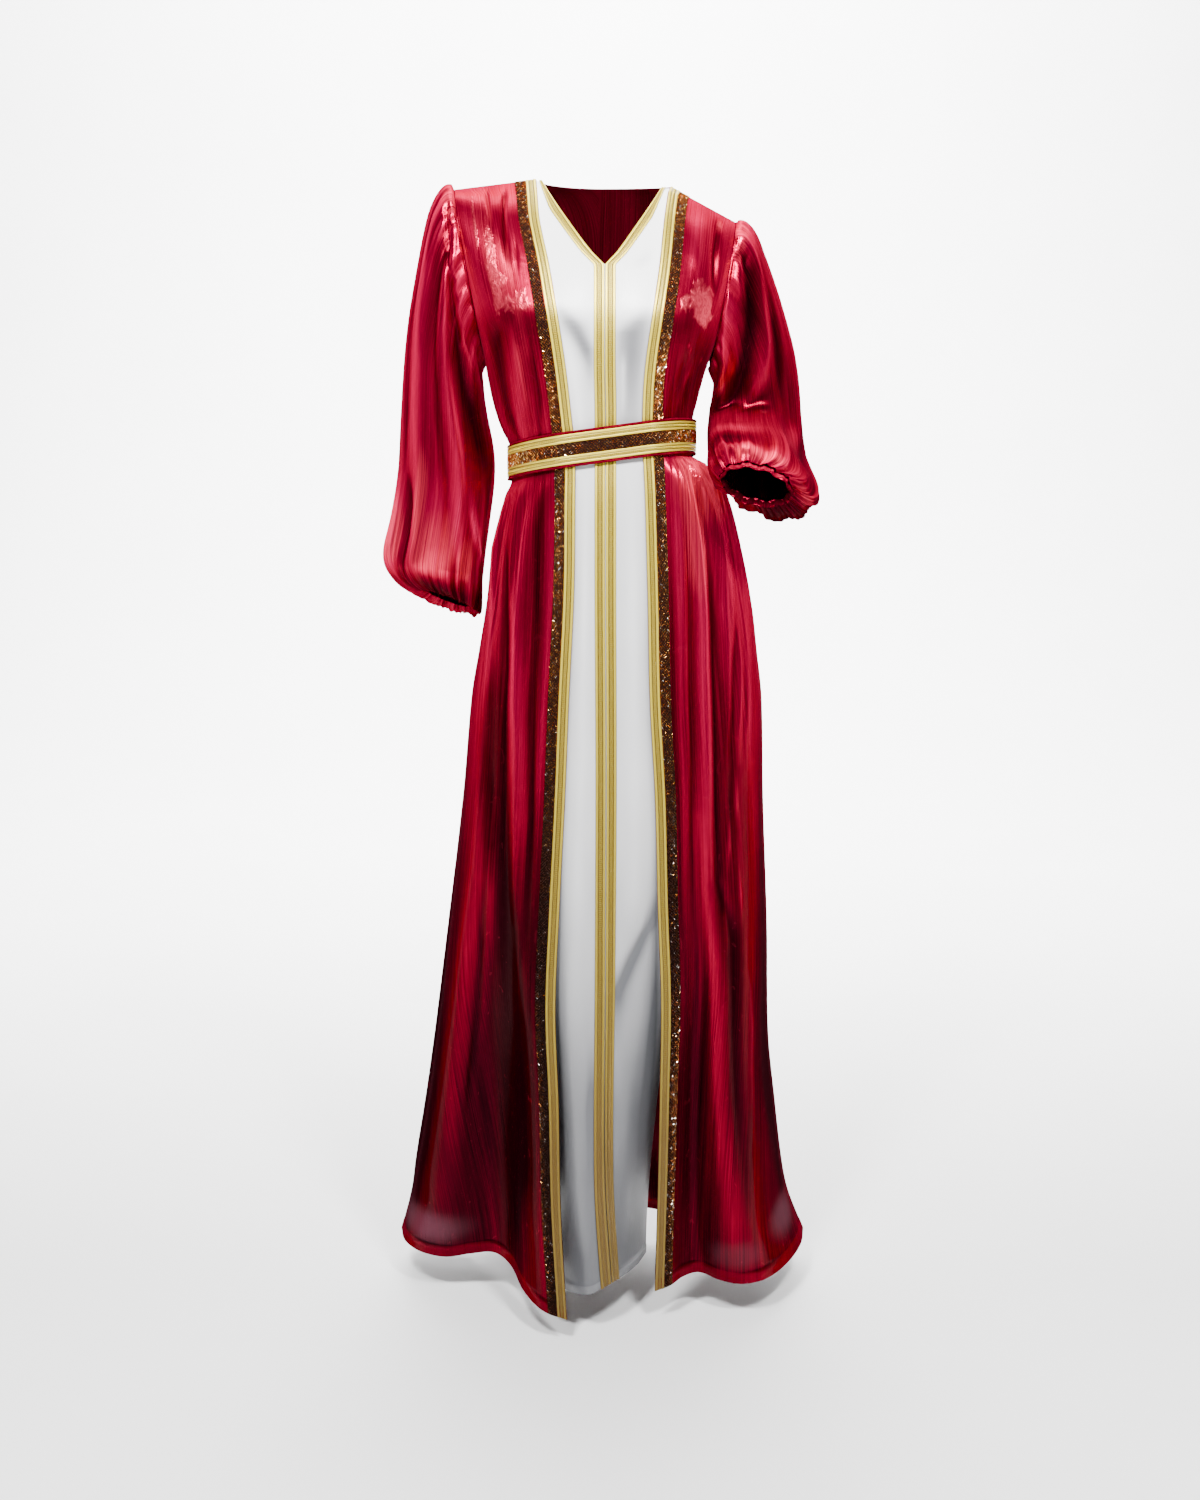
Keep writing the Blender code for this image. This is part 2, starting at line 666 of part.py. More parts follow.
def robe_back():
    """The back of the robe, whose right and left half meet at the centre back seam."""
    heights = [NECK["right"][2]] + LEVELS
    rows = []
    for level in heights:
        line = back_row(level)
        length = np.linalg.norm(np.diff(line, axis=0), axis=1).sum()
        rows.append(resample(line, np.linspace(SEAM_GAP / 2, length - SEAM_GAP / 2, BACK_COLUMNS)))
    grid = np.array(rows)
    grid[0, :, 1] += SEAM_GAP / 2
    outward = grid_normals(grid, BACKWARD)
    rows_with_armhole = sum(1 for z in heights if z > UNDERARM_LEVEL)
    outward[0] = in_shoulder_seam(outward[0])
    outward = in_seams(outward, "right", rows_with_armhole, 0)
    outward = in_seams(outward, "left", rows_with_armhole, -1)
    middle = BACK_COLUMNS // 2
    outward[:, middle] = in_plane(outward[:, middle], ACROSS_X)
    halves = {"right": slice(0, middle + 1), "left": slice(middle, BACK_COLUMNS)}
    for side in SIDES:
        half, inward = grid[:, halves[side]].copy(), -outward[:, halves[side]]
        seam = -1 if side == "right" else 0
        half[:, seam, 0] = grid[:, middle, 0].mean() + SIGN[side] * SEAM_GAP / 2
        bodice_and_skirt(f"back_{side}", half, inward, heights)


def strip(name, grid, outward, start, end, finish, lift=LAY_GAP, thickness=BAND_WALL):
    """A trim on the stretch of a grid between two columns, moved out from its points."""
    shares = (TRIM_MARGIN, 1.0 - TRIM_MARGIN)
    a, b = grid[:, start], grid[:, end]
    na, nb = outward[:, start], outward[:, end]
    points = np.stack([a + (b - a) * share for share in shares], axis=1)
    normals = np.stack([na + (nb - na) * share for share in shares], axis=1)
    rows = len(grid)
    wall(
        name,
        (points + normals * (lift + thickness)).reshape(-1, 3),
        (points + normals * lift).reshape(-1, 3),
        grid_faces(rows, 2),
        finish,
    )


def panel_levels(side):
    """The white panel's row heights: the robe front's own down to the panel's shorter hem."""
    above = [z for z in front_levels(side) if z > PANEL_HEM + LEAST_ROW]
    return above + [PANEL_HEM]


def panel_half(side, heights):
    """One half of the white panel, from the neck edge or the centre line to under the robe."""
    robe, outward = front_grid(side, heights)
    normals = outward[:, :3]
    depth = WALL + LAY_GAP
    under = robe[:, :3] - normals * depth
    rows = []
    for i, level in enumerate(heights):
        centre = curve(PANEL_CENTRE, level)
        half = curve(V_EDGE_HALF, level)[1] if level > V_LEVEL else 0.0
        middle = tilted(np.array([[centre[1], centre[2], level]]))[0]
        edge = under[i, 0]
        width = max(abs(edge[0] - middle[0]) - half, PANEL_LEAST)
        braid = min(BRAID_WIDTH, width * BRAID_MOST_SHARE)
        stops = np.concatenate([[0.0], np.linspace(braid, width, PANEL_COLUMNS)])
        reach = abs(edge[0] - middle[0])
        share = (reach - width + stops) / reach
        line = np.column_stack(
            [
                middle[0] + (edge[0] - middle[0]) * share,
                middle[1] + (edge[1] - middle[1]) * share**2,
                middle[2] + (edge[2] - middle[2]) * share,
            ]
        )
        rows.append(np.vstack([line, under[i, 1:]]))
    rows = np.array(rows)
    steps = np.linalg.norm(np.diff(rows[-1], axis=0), axis=1)
    distances = np.concatenate([[0.0], np.cumsum(steps)])
    hem = np.array([curve(PANEL_HEM_PLAN[side], distance)[1:] for distance in distances])
    swung = hem - rows[-1, :, :2]
    for i, level in enumerate(heights):
        share = (SWING_TOP - level) / (SWING_TOP - PANEL_HEM)
        rows[i, :, :2] += swung * float(smooth(0.0, 1.0, share))
    return rows


def white_panel():
    """The white front panel: two halves that meet on the centre line below the V neck."""
    heights = {side: panel_levels(side) for side in SIDES}
    halves = {side: panel_half(side, heights[side]) for side in SIDES}
    normals = {side: grid_normals(halves[side], FRONTWARD) for side in SIDES}
    below = sum(1 for z in heights["right"] if z <= V_LEVEL)
    middle = normals["right"][-below:, 0] + normals["left"][-below:, 0]
    middle /= np.linalg.norm(middle, axis=1, keepdims=True)
    points, outward, faces, start = [], [], [], {}
    for side in SIDES:
        normals[side][-below:, 0] = middle
        rows, columns = halves[side].shape[:2]
        start[side] = sum(len(part) for part in points)
        points.append(halves[side].reshape(-1, 3))
        outward.append(normals[side].reshape(-1, 3))
        for face in grid_faces(rows, columns):
            moved = tuple(index + start[side] for index in face)
            faces.append(moved if side == "left" else tuple(reversed(moved)))
    rows, columns = halves["left"].shape[:2]
    shift = len(points[0]) - rows * columns
    shared = {}
    for i in range(rows - below, rows):
        shared[start["left"] + i * columns] = i * columns + shift
    faces = [tuple(shared.get(index, index) for index in face) for face in faces]
    points, outward = np.vstack(points), np.vstack(outward)
    used = sorted({index for face in faces for index in face})
    renumber = {old: new for new, old in enumerate(used)}
    faces = [tuple(renumber[index] for index in face) for face in faces]
    points, outward = points[used], outward[used]
    wall("front_panel", points, points - outward * PANEL_WALL, faces, "white_satin")
    for side in SIDES:
        grid = halves[side].copy()
        # The two braids stay apart on the centre line.
        grid[-below:, 0, 0] += SIGN[side] * SEAM_GAP / 2
        strip(f"neck_braid_{side}", grid, normals[side], 0, 1, "gold_braid")


def ring_frames(side):
    """Centres, outer half-vectors and front half-vectors of a sleeve's rings."""
    rows = [armhole_ring(side)]
    for row in SLEEVE_RINGS[side]:
        rows.append((np.array(row[:3]), np.array(row[3:6]), row[6], row[7]))
    centres = np.array([(outer + inner) / 2 for outer, inner, _, _ in rows])
    across = np.array([(outer - inner) / 2 for outer, inner, _, _ in rows])
    front = np.array(
        [
            (0.0, -depth * math.cos(math.radians(pitch)), depth * math.sin(math.radians(pitch)))
            for _, _, depth, pitch in rows
        ]
    )
    return centres, across, front


def armhole_ring(side):
    """The sleeve's first ring, a seam gap outside the armhole."""
    step = armhole_normal(side) * ARMHOLE_GAP
    return np.array(TIP[side]) + step, np.array(UNDERARM[side]) + step, ARMHOLE_HALF_DEPTH, 0


def body_reach(side):
    """How far out the robe reaches on one side: rows of heights, depths and distances."""
    rows = []
    for level in LEVELS:
        if not SLEEVE_NEAR[0] < level < SLEEVE_NEAR[1]:
            continue
        front = front_row(side, level)
        back = back_row(level)
        half = back[: len(back) // 2] if side == "right" else back[len(back) // 2 :][::-1]
        ring = np.vstack([front, half])
        ring = ring[np.argsort(ring[:, 1])]
        rows.append(ring)
    return rows


def kept_clear(points, side, rows, gap):
    """Points moved out sideways until they are a gap clear of the robe."""
    moved = points.copy()
    for k, (x, y, z) in enumerate(points):
        heights = [np.interp(y, row[:, 1], row[:, 2]) for row in rows]
        reach = [np.interp(y, row[:, 1], np.abs(row[:, 0])) for row in rows]
        least = np.interp(-z, [-height for height in heights], reach) + gap
        moved[k, 0] = SIGN[side] * max(abs(x), least)
    return moved


def ramp(stops, share, drop=1.0):
    """Rises between the first two stops and falls by drop between the last two."""
    rise, fall = smooth(stops[0], stops[1], share), smooth(stops[2], stops[3], share)
    return float(rise * (1.0 - drop * fall))


def sleeve_wave(share, angle):
    """Outward offset of a sleeve's cloth at a share of its length and an angle from its outer side."""
    head = ramp(HEAD_RAMP, share)
    cuff = ramp(CUFF_RAMP, share, CUFF_DROP)
    middle = ramp(LONG_FOLD_RAMP, share)
    top = (0.5 + 0.5 * np.cos(angle)) ** HEAD_TOP_POWER
    return (
        HEAD_DEPTH * head * top * np.cos(HEAD_GATHERS * angle)
        + CUFF_DEPTH * cuff * np.cos(CUFF_GATHERS * angle)
        + LONG_FOLD_DEPTH * middle * np.sin(LONG_FOLDS * angle + LONG_FOLD_TWIST * share)
    )


def sleeve(side):
    """A bishop sleeve, gathered at the armhole and drawn in to its cuff seam."""
    centres, across, front = ring_frames(side)
    count = len(centres)
    angles = np.linspace(0.0, 2 * math.pi, SLEEVE_SIDES, endpoint=False)
    grid = np.zeros((count, SLEEVE_SIDES, 3))
    spokes = np.zeros_like(grid)
    rows_near = body_reach(side)
    for i in range(count):
        share = i / (count - 1)
        spoke = np.outer(np.cos(angles), across[i]) + np.outer(np.sin(angles), front[i])
        length = np.linalg.norm(spoke, axis=1, keepdims=True)
        waved = spoke * (1 + sleeve_wave(share, angles)[:, None] / length)
        grid[i] = centres[i] + waved
        if i > CLEAR_RINGS[0]:
            near = float(smooth(*CLEAR_RINGS, i))
            gap = SLEEVE_CLEAR * near + LAY_GAP * (1 - near)
            grid[i] = kept_clear(grid[i], side, rows_near, gap)
        spokes[i] = waved
    closed = np.concatenate([grid[:, -1:], grid, grid[:, :1]], axis=1)
    rows = np.gradient(closed, axis=0)[:, 1:-1]
    columns = np.gradient(closed, axis=1)[:, 1:-1]
    outward = np.cross(rows, columns)
    outward /= np.linalg.norm(outward, axis=2, keepdims=True)
    if (outward * spokes).sum() < 0:
        outward = -outward
    for i in (0, count - 1):
        plane = armhole_normal(side) if i == 0 else np.cross(across[i], front[i])
        outward[i] = in_plane(outward[i], plane / np.linalg.norm(plane))
    wall(
        f"sleeve_{side}",
        grid.reshape(-1, 3),
        (grid - outward * WALL).reshape(-1, 3),
        grid_faces(count, SLEEVE_SIDES, closed=True),
        "red_satin",
    )


def cuff(side):
    """The elastic cuff, scrunched, from just inside the sleeve's last ring to the hand opening."""
    centres, across, front = ring_frames(side)
    axis = np.array(CUFF_AXIS[side])
    axis /= np.linalg.norm(axis)
    angles = np.linspace(0.0, 2 * math.pi, SLEEVE_SIDES, endpoint=False)
    spoke = np.outer(np.cos(angles), across[-1]) + np.outer(np.sin(angles), front[-1])
    length = np.linalg.norm(spoke, axis=1, keepdims=True)
    wave = sleeve_wave(1.0, angles)[:, None] - CUFF_INSET[side]
    grid = []
    for share in (0.0, 1.0):
        grow = CUFF_FLARE[side] * share
        line = axis * (CUFF_LENGTH[side] * share - CUFF_BACK)
        grid.append(centres[-1] + spoke * (1 + (wave + grow) / length) + line)
    grid = np.array(grid)
    wall(
        f"cuff_{side}",
        grid.reshape(-1, 3),
        (grid - (spoke / length) * WALL).reshape(-1, 3),
        grid_faces(2, SLEEVE_SIDES, closed=True),
        "red_satin",
    )


def hull(points):
    """The convex outline of points in plan, counter-clockwise."""
    points = sorted({(round(float(x), 6), round(float(y), 6)) for x, y in points})

    def half(ordered):
        line = []
        for point in ordered:
            while len(line) > 1:
                (ax, ay), (bx, by) = line[-2], line[-1]
                if (bx - ax) * (point[1] - ay) - (by - ay) * (point[0] - ax) > 0:
                    break
                line.pop()
            line.append(point)
        return line[:-1]

    return np.array(half(points) + half(points[::-1]))


def belt_ring(offset, height):
    """A taut closed line round the waist and its trims, at a height on the band."""
    around = np.vstack(
        [
            sampled_plan(front_row("right", level), front_row("left", level), back_row(level))
            for level in BELT_OVER
        ]
    )
    circle = np.linspace(0.0, 2 * math.pi, BELT_SPREAD_SIDES, endpoint=False)
    spread = np.column_stack([np.cos(circle), np.sin(circle)]) * offset
    outline = hull((around[:, None] + spread[None]).reshape(-1, 2))
    loop = np.vstack([outline, outline[:1]])
    loop = np.column_stack([loop, np.zeros(len(loop))])
    length = np.linalg.norm(np.diff(loop, axis=0), axis=1).sum()
    ring = resample(loop, np.linspace(0.0, length, BELT_SIDES, endpoint=False))
    ring[:, 2] = BELT_LEVEL + height + BELT_RISE_X * ring[:, 0] + BELT_RISE_Y * ring[:, 1]
    return ring


def sampled_plan(*lines):
    """The plan of some lines, thinned out."""
    return np.vstack([line[::BELT_SAMPLE_STEP, :2] for line in lines])


def belt_piece(name, low, high, inner_offset, thickness, finish):
    """One band of the belt between two heights, measured from its middle."""
    outer = [belt_ring(inner_offset + thickness, height) for height in (high, low)]
    inner = [belt_ring(inner_offset, height) for height in (high, low)]
    wall(
        name,
        np.vstack(outer),
        np.vstack(inner),
        grid_faces(2, BELT_SIDES, closed=True),
        finish,
    )


def belt():
    """The belt: a red band with two gold braids and a sequin strip between them."""
    half = BELT_HEIGHT / 2
    on_band = BELT_STANDOFF + BELT_WALL + LAY_GAP
    belt_piece("belt_band", -half, half, BELT_STANDOFF, BELT_WALL, "red_satin")
    top = half - BELT_EDGE
    middle = top - BELT_BRAID
    belt_piece("belt_braid_upper", middle, top, on_band, BAND_WALL, "gold_braid")
    belt_piece("belt_braid_lower", -top, -middle, on_band, BAND_WALL, "gold_braid")
    belt_piece(
        "belt_sequin_strip",
        -middle + LAY_GAP,
        middle - LAY_GAP,
        on_band,
        BAND_WALL,
        "copper_sequin",
    )


def main():
    """Clears the scene and makes every piece of the dress."""
    for obj in list(bpy.data.objects):
        bpy.data.objects.remove(obj)
    robe_back()
    for side in SIDES:
        grid, outward = robe_front(side)
        strip(f"gold_band_{side}", grid, outward, 0, 1, "gold_braid")
        strip(f"sequin_band_{side}", grid, outward, 1, 2, "copper_sequin")
        sleeve(side)
        cuff(side)
    white_panel()
    belt()


main()
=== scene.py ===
"""Looks of the layered satin dress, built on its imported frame.

Metres, +Z up, the front faces -Y and the wearer's left is +X. The garment's own lines are worked
out again here, close together, and each piece of cloth is a thin shell on them with its folds.
"""

import math

import bpy
import numpy as np
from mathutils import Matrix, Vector


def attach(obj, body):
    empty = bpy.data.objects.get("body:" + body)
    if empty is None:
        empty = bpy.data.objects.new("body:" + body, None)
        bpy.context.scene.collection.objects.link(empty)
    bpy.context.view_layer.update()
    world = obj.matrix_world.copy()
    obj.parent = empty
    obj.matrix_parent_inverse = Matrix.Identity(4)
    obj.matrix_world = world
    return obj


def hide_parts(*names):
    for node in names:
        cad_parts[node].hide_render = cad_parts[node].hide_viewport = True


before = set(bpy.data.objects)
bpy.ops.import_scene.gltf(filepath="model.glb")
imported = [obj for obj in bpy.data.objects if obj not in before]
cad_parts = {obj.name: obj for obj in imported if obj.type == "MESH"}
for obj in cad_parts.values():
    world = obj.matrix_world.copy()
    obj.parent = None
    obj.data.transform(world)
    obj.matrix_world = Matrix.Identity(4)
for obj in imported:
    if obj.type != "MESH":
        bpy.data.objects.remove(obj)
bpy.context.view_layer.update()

# Cloth, trims and the gaps between them
WALL = 0.002
SEAM_GAP = 0.0004
ARMHOLE_GAP = 0.0008
LAY_GAP = 0.0004

# Widths of the sewn-on trims
GOLD_WIDTH = 0.014
SEQUIN_WIDTH = 0.014
BRAID_WIDTH = 0.014
PANEL_LEAST = 0.004

TRIM_MARGIN = 0.02
BRAID_MOST_SHARE = 0.5

# Mesh density of the CAD's own lines
FRONT_SAMPLES = 81
BACK_SAMPLES = 161
BELT_SIDES = 240

# Belt: a band that sits in a plane tilted up to the wearer's left and to the front
BELT_HEIGHT = 0.046
BELT_WALL = 0.002
BELT_LEVEL = -0.325
BELT_RISE_X = 0.1335
BELT_RISE_Y = -0.152
BELT_EDGE = 0.0035
BELT_BRAID = 0.0115
BELT_STANDOFF = 0.0022
BELT_CLOTH = 0.0012
BELT_OVER = (-0.300, -0.325, -0.350)
BELT_SAMPLE_STEP = 4
BELT_SPREAD_SIDES = 16
TILT_FLAT = 0.030
TILT_END = 0.150

# Heights of the levels that the pieces share
UNDERARM_LEVEL = -0.205
FOLD_TOP = -0.72
HEM_LEVEL = -1.468
SWING_TOP = -0.80
PANEL_HEM = -1.450
V_LEVEL = -0.085
LEAST_ROW = 0.008
LEVELS = [
    0.000, -0.020, -0.050, V_LEVEL, -0.122, -0.162, UNDERARM_LEVEL, -0.245, -0.278,
    -0.300, -0.325, -0.350, -0.372, -0.405, -0.455, -0.520, -0.600, -0.690, -0.790,
    -0.890, -0.990, -1.090, -1.190, -1.280, -1.370, -1.430, HEM_LEVEL,
]

# Neck, shoulders and armholes. The wearer's right shoulder is the higher one.
NECK = {"right": (-0.0876, 0.000, 0.0220), "left": (0.0860, 0.000, 0.0130)}
TIP = {"right": (-0.1930, 0.010, 0.0100), "left": (0.1710, 0.010, -0.0310)}
UNDERARM = {"right": (-0.1560, 0.010, -0.2050), "left": (0.1390, 0.010, -0.2150)}
ARMHOLE_HALF_DEPTH = 0.057
BACK_NECK_DEPTH = 0.062
BACK_NECK_Z = 0.013
BACK_NECK_SHARE = 0.42
BACK_UNDERARM_Y = 0.113
BACK_LEAN = 0.050
BACK_LEAN_POWER = 2.2
BACK_FLATNESS = 0.9
CHEST_ROUNDING = 0.6

# Fullness over the bust, from the cut
BUST_X = 0.088
BUST_Z = -0.155
BUST_SPREAD = 0.050
BUST_FULLNESS = 0.010

# Front edges of the robe: nominal height, then x and y of the right and of the left edge
EDGES = [
    # z, right x, right y, left x, left y
    (.022, -.0876, 0, .086, 0), (0, -.085, -.03, .0815, -.028), (-.03, -.0815, -.06, .0765, -.06),
    (-.085, -.069, -.095, .07, -.094), (-.15, -.0575, -.115, .06, -.115),
    (-.215, -.0475, -.116, .051, -.116), (-.28, -.042, -.103, .049, -.103),
    (-.325, -.037, -.098, .049, -.098), (-.4, -.037, -.107, .053, -.107),
    (-.5, -.0385, -.118, .0565, -.116), (-.64, -.0455, -.125, .06, -.12),
    (-.77, -.051, -.13, .0675, -.125), (-.92, -.059, -.14, .072, -.128),
    (-1.05, -.0645, -.15, .077, -.131), (-1.18, -.0605, -.16, .076, -.137),
    (-1.32, -.058, -.178, .074, -.142), (-1.468, -.05, -.2, .071, -.146),
]

# Figure under the robe: nominal height, x of the right and left side seams, their y, back y
FIGURE = [
    # z, right x, left x, side y, back y
    (-.205, -.156, .139, .01, .113), (-.24, -.151, .131, .01, .109),
    (-.275, -.142, .1215, .008, .099), (-.3, -.123, .1175, .004, .089),
    (-.35, -.123, .1175, .004, .089), (-.37, -.131, .144, 0, .098), (-.4, -.139, .164, 0, .107),
    (-.45, -.149, .183, 0, .118), (-.53, -.158, .2, 0, .13), (-.6, -.17, .209, 0, .134),
    (-.66, -.1805, .216, 0, .134), (-.8, -.194, .2205, 0, .13), (-.98, -.217, .229, 0, .124),
    (-1.15, -.24, .234, 0, .118), (-1.25, -.255, .245, .004, .116),
    (-1.345, -.271, .257, .01, .114), (-1.4, -.279, .268, .016, .113),
    (-1.468, -.296, .293, .027, .112),
]

# The hem in plan, with its height: one row for each ridge, valley or turn of the cloth
HEM_FRONT = {
    # x, y, z
    "right": [
        (-.05, -.2, -1.484), (-.08, -.186, -1.48), (-.11, -.142, -1.47), (-.132, -.088, -1.459),
        (-.156, -.064, -1.453), (-.19, -.062, -1.456), (-.225, -.062, -1.461),
        (-.262, -.044, -1.462), (-.287, -.012, -1.461), (-.296, .027, -1.46),
    ],
    "left": [
        (.071, -.146, -1.47), (.092, -.136, -1.467), (.112, -.114, -1.464), (.135, -.102, -1.464),
        (.163, -.122, -1.466), (.193, -.133, -1.466), (.226, -.121, -1.465), (.26, -.076, -1.464),
        (.285, -.02, -1.462), (.293, .027, -1.46),
    ],
}
HEM_BACK = [
    # x, y, z
    (-.296, .027, -1.46), (-.283, .072, -1.46), (-.25, .101, -1.461), (-.208, .08, -1.462),
    (-.165, .094, -1.464), (-.12, .124, -1.466), (-.075, .104, -1.466), (-.03, .116, -1.467),
    (.02, .132, -1.468), (.065, .108, -1.467), (.105, .096, -1.466), (.15, .116, -1.466),
    (.205, .086, -1.463), (.245, .098, -1.461), (.279, .07, -1.46), (.293, .027, -1.46),
]

# Gathers that the belt draws in: they fade out below and above it
GATHER_DEPTH = 0.0035
GATHERS_FRONT = 4
GATHERS_BACK = 8
GATHER_NEAR = 0.030
GATHER_FULL = 0.070
GATHER_END_BELOW = 0.420
GATHER_END_ABOVE = 0.120
SEAM_FADE = 0.5

# White panel: depth of its centre line, and its hem in plan from the right to the left
PANEL_CENTRE = [
    # z, x, y
    (.022, 0, 0), (0, 0, -.028), (-.04, 0, -.06), (-.086, .001, -.086), (-.15, .001, -.108),
    (-.215, .001, -.112), (-.28, .002, -.101), (-.325, .002, -.095), (-.4, .002, -.108),
    (-.5, .002, -.12), (-.74, .003, -.134), (-1, .002, -.15), (-1.29, .001, -.166),
    (-1.45, .01, -.16),
]
V_EDGE_HALF = [
    # z, distance of the neck edge from the centre line
    (.022, .08), (-.003, .064), (-.045, .034), (-.07, .015), (-.085, 0),
]
PANEL_HEM_PLAN = {
    # distance from the centre line, x, y
    "right": [
        (0, .01, -.16), (.014, -.004, -.171), (.03, -.019, -.179), (.052, -.04, -.166),
        (.085, -.06, -.136), (.11, -.072, -.112),
    ],
    "left": [
        (0, .01, -.16), (.014, .021, -.146), (.045, .039, -.118), (.08, .056, -.082),
        (.12, .071, -.044),
    ],
}

# Sleeves: one row for each ring, with its outer and inner points, half its depth and the
# angle in degrees by which its front is raised. The armhole comes before the first ring.
SLEEVE_RINGS = {
    # outer x, y, z, inner x, y, z, half depth, pitch
    "right": [
        (-.202, .011, .017, -.1585, .011, -.214, .06, 0),
        (-.219, .012, -.006, -.161, .013, -.222, .063, 0),
        (-.231, .013, -.04, -.1615, .015, -.23, .065, 0),
        (-.242, .015, -.087, -.1605, .018, -.24, .066, 0),
        (-.253, .018, -.138, -.159, .022, -.252, .067, 0),
        (-.26, .021, -.19, -.158, .026, -.27, .068, 0),
        (-.264, .024, -.245, -.1545, .03, -.295, .069, 0),
        (-.268, .027, -.305, -.147, .034, -.325, .07, 0),
        (-.271, .03, -.365, -.146, .038, -.368, .071, 0),
        (-.279, .03, -.418, -.155, .04, -.42, .071, 0),
        (-.288, .03, -.455, -.162, .04, -.47, .07, 0),
        (-.29, .03, -.48, -.165, .038, -.508, .066, 8),
        (-.279, .028, -.503, -.169, .034, -.536, .058, 16),
        (-.258, .025, -.517, -.173, .03, -.548, .044, 22),
        (-.237, .022, -.505, -.181, .026, -.526, .028, 18),
    ],
    "left": [
        (.183, .012, -.03, .142, .012, -.224, .059, 0),
        (.196, .014, -.046, .146, .016, -.234, .062, 0),
        (.209, .018, -.074, .147, .022, -.244, .064, 3),
        (.223, .025, -.114, .146, .03, -.256, .065, 6),
        (.237, .034, -.158, .143, .036, -.269, .066, 10),
        (.25, .044, -.205, .14, .038, -.284, .066, 16),
        (.259, .052, -.256, .138, .034, -.296, .064, 24),
        (.263, .044, -.306, .138, .01, -.304, .06, 42),
        (.264, .01, -.333, .137, -.022, -.312, .052, 60),
        (.266, -.034, -.35, .134, -.056, -.318, .049, 70),
        (.271, -.074, -.366, .134, -.09, -.324, .05, 72),
        (.27, -.106, -.378, .136, -.114, -.33, .048, 72),
        (.26, -.132, -.379, .14, -.13, -.337, .04, 72),
        (.238, -.148, -.364, .148, -.141, -.346, .027, 72),
    ],
}

# Cuffs: elastic bands just inside the sleeve's last ring
CUFF_BACK = 0.003
CUFF_LENGTH = {"right": 0.016, "left": 0.015}
CUFF_FLARE = {"right": 0.000, "left": 0.002}
CUFF_INSET = {"right": LAY_GAP, "left": WALL + 4 * LAY_GAP}
CUFF_AXIS = {"right": (-0.25, -0.25, -0.93), "left": (-0.13, -0.945, -0.305)}

# Waves round a sleeve: gathers at its head and its cuff, long soft folds between them
HEAD_GATHERS = 10
CUFF_GATHERS = 10
HEAD_DEPTH = 0.0028
HEAD_RAMP = (0.0, 0.07, 0.12, 0.45)
HEAD_TOP_POWER = 0.7
CUFF_DEPTH = 0.0030
CUFF_RAMP = (0.66, 0.90, 0.93, 1.0)
CUFF_DROP = 0.5
LONG_FOLDS = 5
LONG_FOLD_DEPTH = 0.0045
LONG_FOLD_RAMP = (0.15, 0.5, 0.75, 0.95)
LONG_FOLD_TWIST = 2.0

# A sleeve stays clear of the robe between these heights, fully so from the fifth ring on
SLEEVE_NEAR = (-0.70, -0.04)
SLEEVE_CLEAR = 0.004
CLEAR_RINGS = (1, 5)

SIDES = ("right", "left")
SIGN = {"right": -1.0, "left": 1.0}
FRONTWARD, BACKWARD = (0.0, -1.0, 0.0), (0.0, 1.0, 0.0)


def smooth(low, high, value):
    """0 below low, 1 above high and an S-curve between them."""
    share = np.clip((np.asarray(value, float) - low) / (high - low), 0.0, 1.0)
    return share * share * (3.0 - 2.0 * share)


def curve(rows, at, column=0):
    """The rows' other columns at a value of one column, on a Catmull-Rom curve through them."""
    table = np.array(sorted(rows, key=lambda row: row[column]), float)
    keys = table[:, column]
    at = float(np.clip(at, keys[0], keys[-1]))
    i = int(np.clip(np.searchsorted(keys, at) - 1, 0, len(keys) - 2))
    return hermite(table, keys, i, at)


def hermite(table, keys, i, at):
    """A cubic from row i to row i + 1, with each row's slope taken from its neighbours."""
    step = keys[i + 1] - keys[i]
    share = (at - keys[i]) / step

    def slope(k):
        if k == 0 or k == len(keys) - 1:
            other = 1 if k == 0 else k - 1
            return (table[other] - table[k]) / (keys[other] - keys[k])
        return (table[k + 1] - table[k - 1]) / (keys[k + 1] - keys[k - 1])

    a, b = table[i], table[i + 1]
    s2, s3 = share * share, share**3
    return (
        a * (2 * s3 - 3 * s2 + 1)
        + slope(i) * step * (s3 - 2 * s2 + share)
        + b * (3 * s2 - 2 * s3)
        + slope(i + 1) * step * (s3 - s2)
    )


def arc_lengths(points, axis=0):
    """Distance run along a line of points, or along one axis of a grid of them."""
    steps = np.linalg.norm(np.diff(points, axis=axis), axis=-1)
    start = np.zeros_like(np.take(steps, [0], axis=axis))
    return np.cumsum(np.concatenate([start, steps], axis=axis), axis=axis)


def unit(vectors):
    """Vectors brought to a length of one."""
    return vectors / np.linalg.norm(vectors, axis=-1, keepdims=True)


def along(points, shares):
    """Points at shares of the length of a smooth curve through the given points."""
    keys = arc_lengths(points)
    rows = np.column_stack([keys / keys[-1], points])
    return np.array([curve(rows, share)[1:] for share in shares])


def resample(values, distances, keys=None):
    """Values at distances along a line: their keys, or else the line's own distances."""
    keys = arc_lengths(values) if keys is None else keys
    return np.column_stack([np.interp(distances, keys, column) for column in values.T])


def tilted(points):
    """Shifts the heights near the waist on to the belt's tilted plane."""
    away = np.abs(points[:, 2] - BELT_LEVEL)
    weight = 1.0 - smooth(TILT_FLAT, TILT_END, away)
    moved = points.copy()
    moved[:, 2] += weight * (BELT_RISE_X * points[:, 0] + BELT_RISE_Y * points[:, 1])
    return moved


